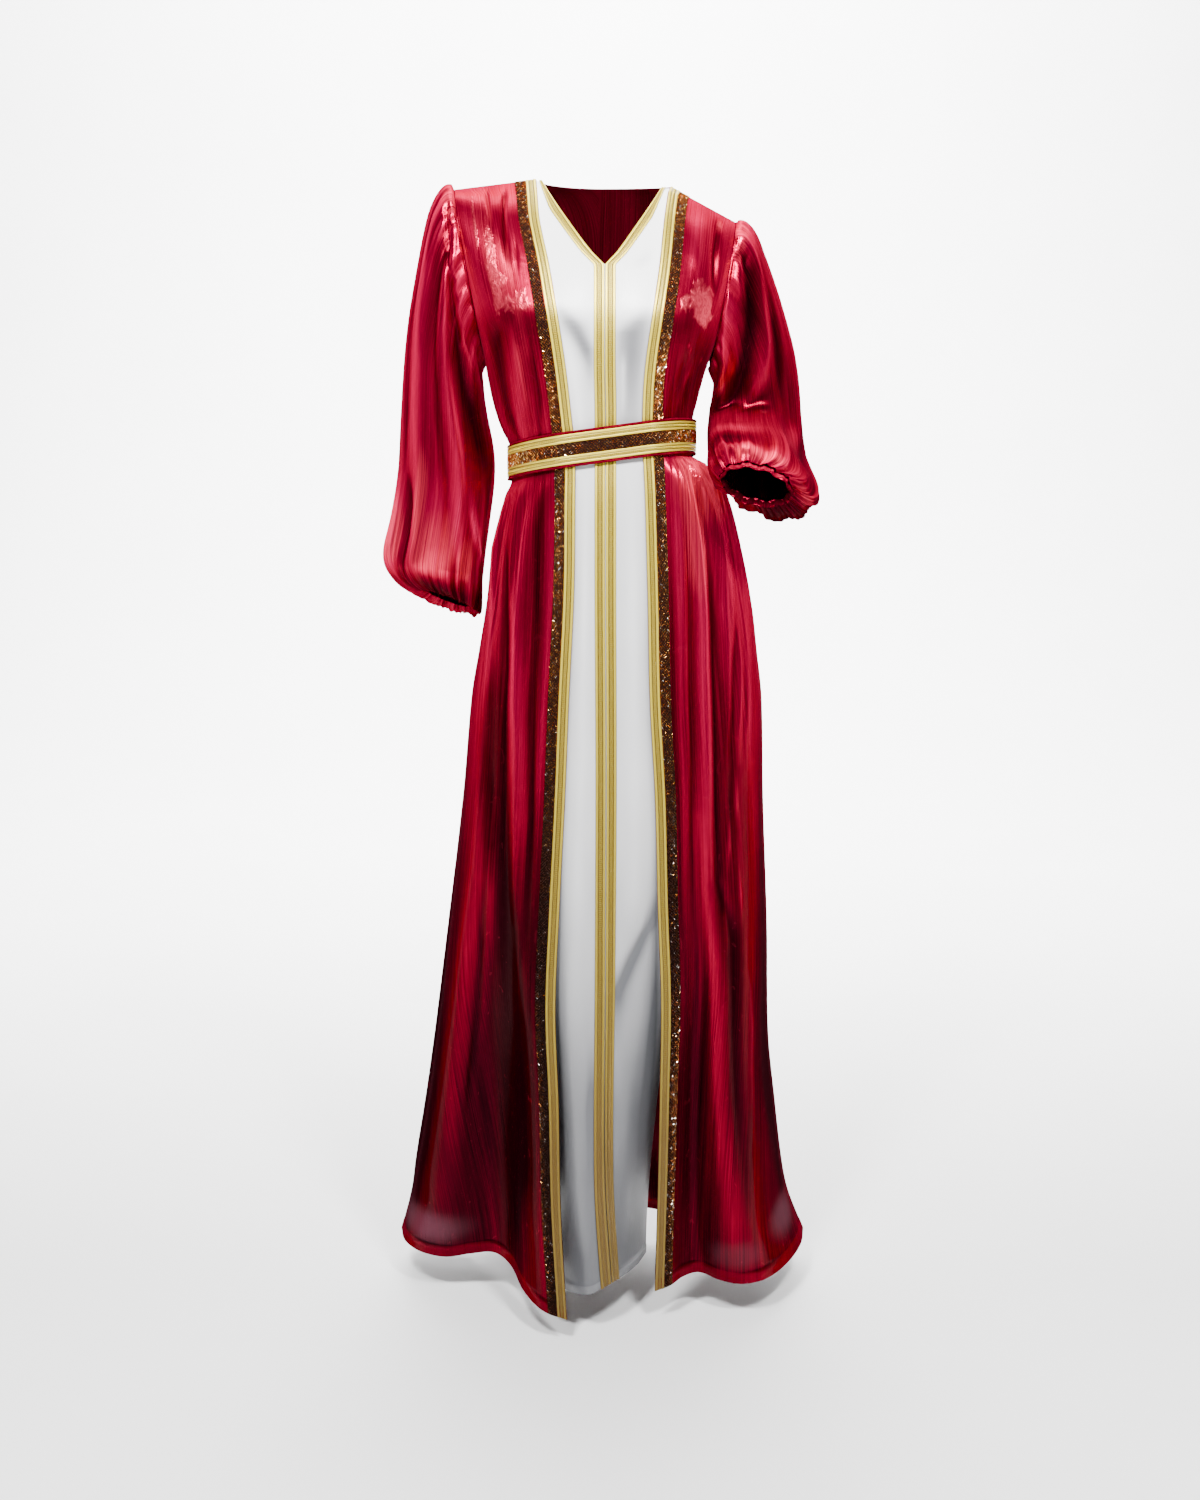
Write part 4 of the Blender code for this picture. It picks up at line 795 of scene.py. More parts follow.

# Sleeves: share of the length in hundredths, angle from the outer side with the front above
# zero, half width in degrees, height, painted shade
SLEEVE_FOLDS = unpacked({
    "right": [
        [(12, 25, 8), (25, 42, 12, 4, .5), (40, 50, 14, 5, .6), (50, 48, 14, 5, .55),
         (62, 55, 12, 3, .3), (70, 60, 10)],
        [(5, 75, 6), (15, 76, 6, 4, .4), (28, 85, 7, 4, .4), (40, 95, 7, 5, .5),
         (55, 105, 8, 5, .5), (66, 115, 8, 4, .4), (75, 120, 8)],
        [(6, 60, 5), (15, 62, 5, -4, -.5), (25, 68, 5, -4, -.5), (48, 83, 6, -4, -.45),
         (63, 97, 6, -3, -.3), (70, 100, 5)],
        [(5, 35, 5), (9, 45, 7, -4, -.5), (12, 66, 9, -5, -.5), (18.8, 92, 12, -6, -.7),
         (25, 112, 16, -7, -.9), (41, 130, 18, -7, -1), (54, 143, 16, -6, -.95),
         (62, 155, 14, -4, -.8), (72, 160, 12, 0, -.3)],
        [(12, 135, 6), (20, 145, 7, 3, .4), (37, 160, 7, 3, .45), (50, 168, 7, 3, .4),
         (60, 172, 7)],
        [(8, 15, 4), (18, 18, 5, -3, -.3), (35, 22, 6, -3, -.3), (50, 24, 6, -3, -.3), (60, 26, 5)],
        [(58, 32, 4), (64, 42, 5, -6, -.5), (72, 46, 5, -6, -.6), (80, 44, 5, -3, -.3),
         (86, 40, 5)],
        [(58, 5, 14), (64, 12, 18, 3, .9), (73, 12, 20, 4, 1.1), (80, 10, 18, 2, .6), (85, 5, 14)],
        [(56, 85, 14), (63, 88, 24, 2, .5), (72, 92, 32, 4, .7), (78, 95, 32, 4, .4), (84, 95, 30)],
        [(60, 125, 3), (65, 130, 3, 3, .9), (72, 145, 3, 3, .9), (76, 155, 3)],
        [(80, 95, 80), (87, 95, 90, 0, -.8), (100, 95, 90, 0, -1)],
    ],
    "left": [
        [(6, 48, 5), (13, 57, 12, -5, -.8), (20, 68, 15, -6, -1), (30, 84, 17, -6, -1),
         (38, 104, 17, -6, -.9), (46, 118, 15, -4, -.7), (54, 130, 12, 0, -.2), (60, 135, 10)],
        [(1, 95, 10), (5, 108, 12, 3, .5), (12, 120, 12, 4, .5), (25, 140, 12, 3, .45),
         (36, 160, 12, 2, .4), (45, 170, 10)],
        [(20, 45, 8), (30, 58, 10, 4, .4), (37, 66, 10, 5, .5), (46, 84, 10, 4, .45),
         (54, 100, 10, 2, .2), (60, 110, 8)],
        [(15, 25, 6), (30, 34, 8, -4, -.5), (42, 46, 8, -4, -.5), (50, 56, 8, -2, -.3),
         (56, 60, 8)],
        [(15, 0, 5), (30, 6, 6, 3, .5), (42, 8, 6, 3, .5), (50, 12, 6, 2, .3), (58, 14, 6)],
        [(0, 20, 30), (5, 20, 35, 0, .35), (12, 20, 30, 0, .25), (20, 20, 25)],
        [(68, 115, 25), (73.5, 115, 30, 1.2, .4), (78, 115, 28)],
        [(76, 120, 30), (80, 130, 32, -4, -.7), (85, 130, 32, -3, -.5), (88, 130, 30)],
        [(84, 90, 30), (90, 90, 38, 0, .6), (100, 90, 38, 0, .5)],
        [(72, -60, 70), (84, -60, 75, 0, -.8), (100, -60, 75, 0, -.9)],
        [(58, 20, 20), (64, 35, 16, 3, .3), (72, 48, 12, 2, .3), (78, 60, 10)],
        [(56, 5, 8), (64, 14, 8, -3, -.4), (74, 24, 8, -3, -.4), (82, 34, 8)],
    ],
}, (100, 1, 1))
# Long folds on a sleeve's hidden side: angle at the top and at the bottom, height, painted shade
SLEEVE_BACK = [
    (-10, -4, 3, .3), (-24, -28, -5, -.6), (-42, -40, 6, .6), (-58, -68, -3, -.4),
    (-72, -80, 3, .3), (-90, -96, -6, -.8), (-112, -122, 5, .5), (-130, -134, -3, -.4),
    (-146, -156, 4, .3),
]
SLEEVE_BACK_WIDTH = (7, 8)
SLEEVE_BACK_REACH = (.04, .16, .70, .92)
GATHERS = [
    # number round the sleeve, where they begin and end, height
    (26, .00, .03, .06, .34, .0042),
    (46, .48, .90, 1.1, 1.2, .0046),
]
# Streaks of painted pink highlight on the sleeves
SLEEVE_STREAKED_HIGHLIGHT = {
    # share of the length, angle, half length, half width, strength
    "right": [
        (.62, 62, .08, 9, .8), (.73, 88, .08, 26, .9), (.71, 10, .08, 24, 1.2),
        (.75, 128, .06, 9, .9), (.05, 25, .05, 30, .5),
    ],
    "left": [
        (.93, 95, .05, 34, .8), (.95, 10, .05, 24, .4), (.06, 30, .05, 34, .5),
        (.3, 140, .08, 8, .6),
    ],
}
STREAKED_MIDDLE = 60.0

# Cuffs: mesh, puff of the whole casing, and its scrunches
CUFF_SIDES, CUFF_ROWS = 240, 14
CUFF_PUFF, CUFF_PUFF_POWER = 0.0012, 0.6
SCRUNCHES = 30
SCRUNCH_LEAN, SCRUNCH_HEIGHT, SCRUNCH_WIDTH = 0.10, 0.0028, 0.062

# The belt's piped edge: distance down from the edge, and height off the belt
BELT_EDGE_LINE = ((0.0, -0.0010), (0.0006, 0.0010), (0.0018, 0.0016), (0.0030, 0.0002))

# Camera, backdrop and lights
CAMERA_AT = (-0.005, -2.72, -0.106)
CAMERA_PITCH = 13.0
CAMERA_LENS = 48.72
FLOOR_Z = -1.52
WORLD_STRENGTH = 0.16
SWEEP_FRONT, SWEEP_Y, SWEEP, SWEEP_SIDE, SWEEP_TOP = -6.0, 2.6, 2.0, 8.0, 8.0
SWEEP_COLOUR = (0.92, 0.92, 0.92)
LIGHTS = [
    # name, place, aim, size, power
    ("key", (-0.60, -1.60, 1.10), (-0.1, 0.0, -0.25), 0.40, 112.0),
    ("second", (0.70, -1.55, 1.05), (0.1, 0.0, -0.25), 0.35, 92.0),
    ("low", (0.0, -3.0, -0.9), (0.0, 0.0, -1.0), 1.2, 5.0),
    ("top", (0.0, 1.9, 3.4), (0.0, 2.2, 0.0), 3.0, 330.0),
    ("wash", (0.0, 2.0, 1.6), (0.0, 4.8, -0.2), 3.0, 900.0),
]


def fine_levels(top, bottom, turn):
    """Heights a row step apart through the CAD's own rows, with two where the hem turns in."""
    stops = [top] + [z for z in LEVELS if bottom + LEAST_ROW < z < top - LEAST_ROW] + [bottom]
    heights = [bottom]
    for a, b in zip(stops, stops[1:]):
        heights += list(np.linspace(a, b, max(1, round((a - b) / ROW_STEP)), endpoint=False))
    kept = [z for z in heights if abs(z - bottom - turn) > HEM_CLEAR]
    return sorted(kept + [bottom + turn + HEM_STEP, bottom + turn - HEM_STEP], reverse=True)


def folds_on(places, at, folds):
    """Height in metres and painted shading of the folds at places across, at one place down."""
    height, shade = np.zeros_like(places), np.zeros_like(places)
    for fold in folds:
        rows = np.array(sorted(fold))
        if rows[0, 0] < at < rows[-1, 0]:
            centre, width, rise, tone = resample(rows[:, 1:], [at], rows[:, 0])[0]
            shape = np.exp(-(((places - centre) / width) ** 2))
            height += rise * 1e-3 * shape
            shade += tone * shape
    return height, shade


def long_folds(rows, width, reach):
    """Paths of plain long folds that rise over the first reach and fade over the last."""
    return [
        [(reach[0], top, width[0], 0, 0), (reach[1], top, width[0], rise, tone),
         (reach[2], bottom, width[1], rise, tone), (reach[3], bottom, width[1], 0, 0)]
        for top, bottom, rise, tone in rows
    ]


def patches_on(places, at, patches):
    """Strength of soft oval patches at places across, at one place down."""
    total = np.zeros_like(places)
    for down, across, half_down, half_across, strength in patches:
        away = ((places - across) / half_across) ** 2 + ((at - down) / half_down) ** 2
        total += strength * np.exp(-(away**2))
    return total


def eased(grid, heights, near, reach, passes):
    """Evens out a grid down its columns near one height."""
    weight = 1.0 - smooth(0.0, reach, np.abs(np.array(heights) - near))
    weight = weight[1:-1, None, None]
    for _ in range(passes):
        grid[1:-1] += 0.5 * weight * ((grid[:-2] + grid[2:]) / 2 - grid[1:-1])
    return grid


def turned(angles, centre):
    """Angles from a centre, between minus and plus half a turn."""
    return (angles - centre + 180.0) % 360.0 - 180.0


def spread_out(rng, count, margin):
    """Shares of a width, evenly spaced but for chance."""
    return (np.arange(count) + rng.uniform(margin, 1.0 - margin, count)) / count


def pleats_on(shares, level, count, seed):
    """Small uneven gathers that the belt draws in, fading out away from it."""
    rng = np.random.default_rng(seed)
    centres = spread_out(rng, count, 0.2)
    width = rng.uniform(*PLEAT_WIDTH, count) / count
    reach = rng.uniform(*PLEAT_REACH, count)
    rise = rng.uniform(0.5, 1.0, count) * PLEAT_HEIGHT
    away = BELT_LEVEL - level
    reach = reach if away > 0 else reach * PLEAT_ABOVE
    near = smooth(*PLEAT_START, abs(away)) * (1.0 - smooth(0.25, 1.0, abs(away) / reach))
    shape = np.exp(-(((shares[:, None] - centres) / width) ** 2))
    return (shape * rise * near).sum(axis=1)


def facing(grid, outward, closed=False):
    """Unit normals of a grid of points on the side of outward, closed round its columns or not."""
    if closed:
        padded = np.concatenate([grid[:, -1:], grid, grid[:, :1]], axis=1)
        columns = np.gradient(padded, axis=1)[:, 1:-1]
    else:
        columns = np.gradient(grid, axis=1)
    normal = np.cross(np.gradient(grid, axis=0), columns)
    normal = normal / np.maximum(np.linalg.norm(normal, axis=2, keepdims=True), 1e-12)
    return normal if (normal * outward).sum() > 0 else -normal


def grid_faces(grid, outward, closed=False):
    """A grid's faces as corner numbers, and whether they have to be turned to face outward."""
    rows, columns = grid.shape[:2]
    i = np.arange(rows - 1)[:, None]
    j = np.arange(columns if closed else columns - 1)[None, :]
    a, b = i * columns + j, i * columns + (j + 1) % columns
    quads = np.stack([a, b, b + columns, a + columns], axis=-1).reshape(-1, 4)
    p, q, r = grid.reshape(-1, 3)[quads[0, :3]]
    return quads, np.dot(np.cross(q - p, r - p), outward[0, 0]) < 0


def marked(mesh, marks):
    """Gives a mesh's points their values for the looks."""
    for label, values in marks.items():
        layer = mesh.attributes.new(label, "FLOAT", "POINT")
        layer.data.foreach_set("value", np.asarray(values, np.float32).ravel())


def cloth_mesh(name, points, faces, cloth, marks, sharp):
    """A smooth mesh with its cloth map and its marks."""
    mesh = bpy.data.meshes.new(name)
    mesh.from_pydata(points.tolist(), [], faces)
    corners = np.empty(len(mesh.loops), np.int32)
    mesh.loops.foreach_get("vertex_index", corners)
    layer = mesh.uv_layers.new(name="cloth")
    layer.data.foreach_set("uv", cloth.astype(np.float32)[corners].ravel())
    marked(mesh, marks)
    mesh.shade_smooth()
    mesh.set_sharp_from_angle(angle=math.radians(sharp))
    return mesh


def shell(name, grid, outward, look, node, marks, thickness=SHELL, closed=False):
    """A thin closed sheet under a grid of outer points, with a cloth map in metres."""
    count = grid.shape[0] * grid.shape[1]
    points = np.vstack([grid.reshape(-1, 3), (grid - outward * thickness).reshape(-1, 3)])
    quads, flip = grid_faces(grid, outward, closed)
    quads = quads[:, ::-1] if flip else quads
    ends = np.concatenate([quads[:, [n, (n + 1) % 4]] for n in range(4)]).tolist()
    key = set(map(tuple, ends))
    rim = [(v, u, u + count, v + count) for u, v in ends if (v, u) not in key]
    faces = np.concatenate([quads, quads[:, ::-1] + count, np.array(rim)]).tolist()
    across, down = arc_lengths(grid, 1), arc_lengths(grid, 0)
    if closed:
        across = np.broadcast_to(across[len(grid) // 2], across.shape)
        down = np.broadcast_to(down[:, :1], down.shape)
    cloth = np.stack([across, down], axis=2).reshape(-1, 2)
    both = {label: np.stack([values, values]) for label, values in marks.items()}
    mesh = cloth_mesh(name, points, faces, np.vstack([cloth, cloth]), both, SHARP_CLOTH)
    return placed(name, mesh, look, node)


def linked(name, data):
    """A new object in the scene."""
    obj = bpy.data.objects.new(name, data)
    bpy.context.scene.collection.objects.link(obj)
    return obj


def placed(name, mesh, look, node):
    """Puts a mesh in the scene with its look, in place of the CAD nodes given."""
    mesh.materials.append(LOOKS[look])
    obj = linked(name, mesh)
    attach(obj, "root")
    if node:
        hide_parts(*([node] if isinstance(node, str) else node))
    return obj


def fine_front(side, heights):
    """Fine grid of a robe front without folds: trim columns first, then even ones."""
    near = np.linspace(0.0, GOLD_WIDTH + SEQUIN_WIDTH, FINE_TRIM + 1)
    rows = []
    for level in heights:
        line = front_row(side, level)
        rest = np.linspace(near[-1], arc_lengths(line)[-1], FINE_SIDE)[1:]
        rows.append(resample(line, np.concatenate([near, rest])))
    grid = eased(np.array(rows), heights, *UNDERARM_EASE)
    return grid, facing(grid, FRONTWARD)


def folded(grid, outward, heights, shares, folds, name, pleats=None):
    """A grid with its folds and its turned hem, its normals, and the marks of its look."""
    hem, turn = (PANEL_HEM, PANEL_TURN) if name == "panel" else (HEM_LEVEL, HEM_TURN)
    rise, fall = EDGE_FADE.get(name, EDGE_FADE["front"])
    fade = smooth(0.0, rise, shares) * (1.0 - smooth(fall, 1.0, shares))
    relief, shade = np.zeros(grid.shape[:2]), np.zeros(grid.shape[:2])
    inside = np.zeros(grid.shape[:2])
    for k, z in enumerate(heights):
        height, tone = folds_on(shares, z, folds)
        if pleats:
            height = height + pleats_on(shares, z, *pleats)
        relief[k] = height * fade
        # Painted shading: the folds' own, and lighter or darker by height down the piece.
        shade[k] = tone + np.interp(z, *np.array(sorted(LEVEL_PAINTED_SHADING[name])).T)
        inside[k] = z < hem + turn
    moved = grid + outward * (relief + inside * HEM_LIFT)[:, :, None]
    return moved, facing(moved, outward), {"hem": inside, "shade": shade}


def robe_front(side):
    """A robe front with its folds and hem, and its trims, which lie on its plain grid."""
    heights = fine_levels(NECK[side][2], HEM_LEVEL, HEM_TURN)
    grid, outward = fine_front(side, heights)
    shares = (np.arange(grid.shape[1]) - FINE_TRIM) / (FINE_SIDE - 1)
    pleats = (PLEATS_FRONT, len(side))
    moved, normals, marks = folded(
        grid, outward, heights, shares, FRONT_FOLDS[side], side, pleats
    )
    for label, table in PATCHES.items():
        marks[label] = np.array([patches_on(shares, z, table[side]) for z in heights])
    nodes = (f"bodice_front_{side}", f"skirt_front_{side}")
    declared_sheet(shell(f"front_{side}", moved, normals, "red_satin", nodes, marks), moved)
    gold, both = slice(0, FINE_TRIM // 2 + 1), slice(FINE_TRIM // 2, FINE_TRIM + 1)
    ribbon(f"edge_{side}", grid[:, gold], outward[:, gold], f"gold_band_{side}")
    seed = SEQUIN_SEED + len(side)
    sequins(f"sequins_{side}", grid[:, both], outward[:, both], f"sequin_band_{side}", seed)


def declared_sheet(piece, grid, closed=False):
    """Works out a piece's flat cut, widest row by longest column, and its area, and keeps none."""
    rings = np.concatenate([grid, grid[:, :1]], axis=1) if closed else grid
    across = np.linalg.norm(np.diff(rings, axis=1), axis=2).sum(axis=1).max()
    down = np.linalg.norm(np.diff(grid, axis=0), axis=2).sum(axis=0).max()
    p, q = rings[:-1, :-1], rings[1:, 1:]
    r, s = rings[:-1, 1:], rings[1:, :-1]
    area = 0.5 * np.linalg.norm(np.cross(q - p, s - r), axis=2).sum()
    area = float(min(max(area, 0.3 * across * down), across * down))


def robe_backs():
    """Both halves of the robe's back."""
    heights = fine_levels(NECK["right"][2], HEM_LEVEL, HEM_TURN)
    shares = np.linspace(0.0, 1.0, FINE_BACK * 2 - 1)
    lines = [back_row(level) for level in heights]
    rows = [resample(line, np.linspace(0.0, arc_lengths(line)[-1], len(shares))) for line in lines]
    grid = eased(np.array(rows), heights, *UNDERARM_EASE)
    folds = long_folds(BACK_LONG, BACK_WIDTH, BACK_REACH)
    folds += long_folds(BODICE_LONG, BODICE_WIDTH, BODICE_REACH)
    moved, normals, marks = folded(
        grid, facing(grid, BACKWARD), heights, shares, folds, "back", (PLEATS_BACK, BACK_SEED)
    )
    for side, part in (("right", slice(0, FINE_BACK)), ("left", slice(FINE_BACK - 1, None))):
        half = {label: values[:, part] for label, values in marks.items()}
        nodes = (f"bodice_back_{side}", f"skirt_back_{side}")
        piece = shell(f"back_{side}", moved[:, part], normals[:, part], "red_satin", nodes, half)
        declared_sheet(piece, moved[:, part])


def fine_panel(side, heights):
    """Fine grid of one half of the white panel, from its neck edge to under the robe."""
    robe, outward = fine_front(side, heights)
    under = robe[:, :FINE_TRIM + 1] - outward[:, :FINE_TRIM + 1] * (WALL + LAY_GAP)
    rows = []
    for level, covered in zip(heights, under):
        _, x, y = curve(PANEL_CENTRE, level)
        half = curve(V_EDGE_HALF, level)[1] if level > V_LEVEL else 0.0
        middle = tilted(np.array([[x, y, level]]))[0]
        edge = covered[0]
        reach = abs(edge[0] - middle[0])
        width = max(reach - half, PANEL_LEAST)
        braid = min(BRAID_WIDTH, width * BRAID_MOST_SHARE)
        stops = np.concatenate(
            [np.linspace(0.0, braid, FINE_BRAID + 1), np.linspace(braid, width, FINE_PANEL)[1:]]
        )
        share = (reach - width + stops) / reach
        line = middle + (edge - middle) * np.column_stack([share, share**2, share])
        rows.append(np.vstack([line, covered[1:]]))
    rows = np.array(rows)
    hem = [curve(PANEL_HEM_PLAN[side], distance)[1:] for distance in arc_lengths(rows[-1])]
    swung = hem - rows[-1, :, :2]
    for i, level in enumerate(heights):
        share = (SWING_TOP - level) / (SWING_TOP - PANEL_HEM)
        rows[i, :, :2] += swung * float(smooth(0.0, 1.0, share))
    return rows


def white_panels():
    """The white front panel, one shell for each half, and the neck braids that lie on it."""
    made, grids = [], []
    for side in SIDES:
        heights = fine_levels(NECK[side][2], PANEL_HEM, PANEL_TURN)
        grid = fine_panel(side, heights)
        outward = facing(grid, FRONTWARD)
        shares = (np.arange(grid.shape[1]) - FINE_BRAID) / (FINE_PANEL - 1)
        moved, normals, marks = folded(grid, outward, heights, shares, PANEL_FOLDS[side], "panel")
        made.append(shell(f"panel_{side}", moved, normals, "white_satin", None, marks))
        grids.append(moved)
        below = np.array([z <= V_LEVEL + 1e-6 for z in heights])
        lift = grid.copy()
        lift[below, 0, 0] += SIGN[side] * SEAM_GAP / 2
        part, node = slice(0, FINE_BRAID + 1), f"neck_braid_{side}"
        ribbon(f"braid_{side}", lift[:, part], outward[:, part], node, LAY_GAP + HEM_LIFT)
    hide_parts("front_panel")
    for piece, grid in zip(made, grids):
        declared_sheet(piece, grid)


# Braid: steps down it, relief, and its stitches as offset and slant of each row
BRAID_STITCH = 0.0027
BRAID_STEP = 0.0035
BRAID_RELIEF = 0.0011
BRAID_PROFILE = [
    # share of the half width, height
    (0, .45), (.12, .5), (.26, .45), (.34, .1), (.42, .15), (.48, .85), (.66, 1), (.88, .9),
    (.97, .7), (1, .2),
]
STITCH_ROWS = ((-0.13, 0.75), (0.13, -0.75))
STITCH_LONG, STITCH_WIDE, STITCH_HIGH = 0.0013, 0.00055, 0.0008
STITCH_LIFT = 0.4


def across_strip(strip, shares):
    """Points at shares of the way across a strip of columns."""
    columns = strip.shape[1]
    at = np.clip(shares, 0.0, 1.0) * (columns - 1)
    low = np.minimum(at.astype(int), columns - 2)
    part = (at - low)[None, :, None]
    return strip[:, low] * (1 - part) + strip[:, low + 1] * part


def even_strip(strip, normals, step):
    """Distances, rows and normals of a strip sampled evenly along its middle."""
    keys = arc_lengths(strip.mean(axis=1))
    at = np.linspace(0.0, keys[-1], max(2, round(keys[-1] / step) + 1))
    flat = np.concatenate([strip, normals], axis=1).reshape(len(strip), -1)
    rows = resample(flat, at, keys).reshape(len(at), -1, 3)
    return at, rows[:, :strip.shape[1]], rows[:, strip.shape[1]:]


def ribbon(name, strip, normals, node, lift=LAY_GAP):
    """A braid on a strip of cloth: flat edge bands, grooves, and slanted stitches in its middle."""
    at, rows, ups = even_strip(strip, normals, BRAID_STEP)
    profile = [(-share, rise) for share, rise in BRAID_PROFILE[:0:-1]] + BRAID_PROFILE
    x, rise = np.array(profile).T
    shares = 0.5 + x * (0.5 - TRIM_MARGIN)
    base, up = across_strip(rows, shares), unit(across_strip(ups, shares))
    top = base + up * (lift + rise * BRAID_RELIEF)[None, :, None]
    more = stitches(strip, normals, lift)
    return shell_on(name, top, base + up * lift, up, "gold_braid", node, x, at, *more)


def stitches(strip, normals, lift):
    """Small slanted stitches in a chain of V shapes down the middle of a braid."""
    _, rows, ups = even_strip(strip, normals, BRAID_STITCH)
    middle = across_strip(rows, np.array([0.5]))[:, 0]
    side = rows[:, -1] - rows[:, 0]
    width = np.linalg.norm(side, axis=1, keepdims=True)
    side = side / width
    up = unit(ups.mean(axis=1))
    down = np.cross(side, up)
    points, faces = [], []
    for offset, slant in STITCH_ROWS:
        u = down * math.cos(slant) + side * math.sin(slant)
        w = np.cross(up, u)
        centre = middle + side * width * offset / 2 + up * (lift + STITCH_LIFT * BRAID_RELIEF)
        for c, a, b, n in zip(centre[1:-1], u[1:-1], w[1:-1], up[1:-1]):
            a, b, start = a * STITCH_LONG, b * STITCH_WIDE, len(points)
            points += [c + a, c + b, c - a, c - b, c + n * STITCH_HIGH, c - n * STITCH_WIDE]
            for p, q in ((0, 1), (1, 2), (2, 3), (3, 0)):
                faces += [(start + p, start + q, start + 4), (start + q, start + p, start + 5)]
    return points, faces


def shell_on(name, top, bottom, normals, look, node, x, at, more=(), more_faces=()):
    """A strip with a detailed top and a plain underside, with a map of share and distance."""
    rows, columns = top.shape[:2]
    points = np.vstack([top.reshape(-1, 3), bottom[:, 0], bottom[:, -1]])
    count, under = len(points), rows * columns
    quads, flip = grid_faces(top, normals)
    n = np.arange(rows - 1)
    left, right = n * columns, (n + 1) * columns - 1
    low, high = under + n, under + rows + n
    sides = [
        (left, left + columns, low + 1, low), (right, high, high + 1, right + columns),
        (low, low + 1, high + 1, high),
    ]
    first = tuple(range(columns)) + (under + rows, under)
    last = tuple(range((rows - 1) * columns, under))
    caps = [first[::-1], last + (count - 1, under + rows - 1)]
    faces = np.concatenate([quads] + [np.stack(side, axis=-1) for side in sides]).tolist() + caps
    if flip:
        faces = [face[::-1] for face in faces]
    faces += [tuple(corner + count for corner in face) for face in more_faces]
    points = np.vstack([points, np.reshape(more, (-1, 3))])
    cloth = np.zeros((len(points), 2))
    cloth[:count, 0] = np.concatenate([np.tile(x, rows), np.repeat(x[[0, -1]], rows)])
    cloth[:count, 1] = np.concatenate([np.repeat(at, columns), at, at])
    marks = {"chain": np.arange(len(points)) >= count, "level": points[:, 2]}
    return placed(name, cloth_mesh(name, points, faces, cloth, marks, SHARP_TRIM), look, node)


# Sequins: lattice, size, and how unevenly they lie
SEQUIN_ROW = 0.0021
SEQUIN_CELLS = 4
SEQUIN_LONG = 0.00137
SEQUIN_WIDE = 0.00036
SEQUIN_HIGH = 0.00065
SEQUIN_RIDGE = 0.7
SEQUIN_UNEVEN, SEQUIN_ROLL = 0.05, 0.25
SEQUIN_FACES = ((3, 2, 1, 0), (0, 1, 5, 4), (2, 3, 4, 5), (3, 0, 4), (1, 2, 5))
NET_HEIGHT = 0.0004


def sequins(name, strip, normals, node, seed, lift=LAY_GAP):
    """A dark net with long sequins that cross in a lattice of diamonds on it."""
    at, rows, ups = even_strip(strip, normals, SEQUIN_ROW)
    rng = np.random.default_rng(seed)
    x = np.linspace(-1.0, 1.0, strip.shape[1])
    shares = 0.5 + x * (0.5 - TRIM_MARGIN)
    base, up = across_strip(rows, shares), unit(across_strip(ups, shares))
    top = base + up * (lift + NET_HEIGHT)
    net = shell_on(name + "_net", top, base + up * lift, up, "copper_sequin", node, x, at)
    net.data.materials[0] = LOOKS["net"]
    count = 2 * SEQUIN_CELLS
    shares = (np.arange(count) + 0.5) / count
    places, tops = across_strip(rows, shares), unit(across_strip(ups, shares))
    down = unit(np.gradient(places, axis=0))
    side = np.cross(tops, down)
    cell = np.linalg.norm(rows[:, -1] - rows[:, 0], axis=1).mean() / SEQUIN_CELLS
    lean = math.atan2(cell / 2, SEQUIN_ROW)
    points, faces, tones = [], [], []
    for i in range(1, len(at) - 1):
        for k in range(count):
            slant = (lean if (i + k) % 2 else -lean) + rng.normal(0.0, SEQUIN_UNEVEN)
            n = tops[i, k]
            u = down[i, k] * math.cos(slant) + side[i, k] * math.sin(slant)
            a, b, high = u * SEQUIN_LONG, np.cross(n, u) * SEQUIN_WIDE, n * SEQUIN_HIGH
            c = places[i, k] + n * (lift + NET_HEIGHT)
            tip, roll = rng.normal(0.0, SEQUIN_ROLL, 2)
            start = len(points)
            points += [
                c - a - b, c + a - b, c + a + b, c - a + b,
                c - a * SEQUIN_RIDGE + b * roll + high * (1 - tip),
                c + a * SEQUIN_RIDGE + b * roll + high * (1 + tip),
            ]
            faces += [tuple(start + corner for corner in face) for face in SEQUIN_FACES]
            tones += [rng.random()] * 6
    mesh = bpy.data.meshes.new(name)
    mesh.from_pydata(np.array(points).tolist(), [], faces)
    marked(mesh, {"tone": tones, "level": np.array(points)[:, 2]})
    return placed(name, mesh, "copper_sequin", None)


def sleeve_line(side, number):
    """Centre, outer half-vector and front half-vector of a sleeve at a fractional ring."""
    return np.split(curve(RINGS[side], number)[1:], 3)


def about(rows, angle):
    """Rows with their angles, in the second column, measured from another one."""
    return [(row[0], row[1] - angle, *row[2:]) for row in rows]


def sleeve_folds_on(degrees, share, side):
    """Height and painted shading of a sleeve's listed folds round one ring."""
    height, shade = np.zeros_like(degrees), np.zeros_like(degrees)
    for fold in SLEEVE_FOLDS[side] + long_folds(SLEEVE_BACK, SLEEVE_BACK_WIDTH, SLEEVE_BACK_REACH):
        middle = float(np.mean([row[1] for row in fold]))
        more, tone = folds_on(turned(degrees, middle), share, [about(fold, middle)])
        height, shade = height + more, shade + tone
    return height, shade


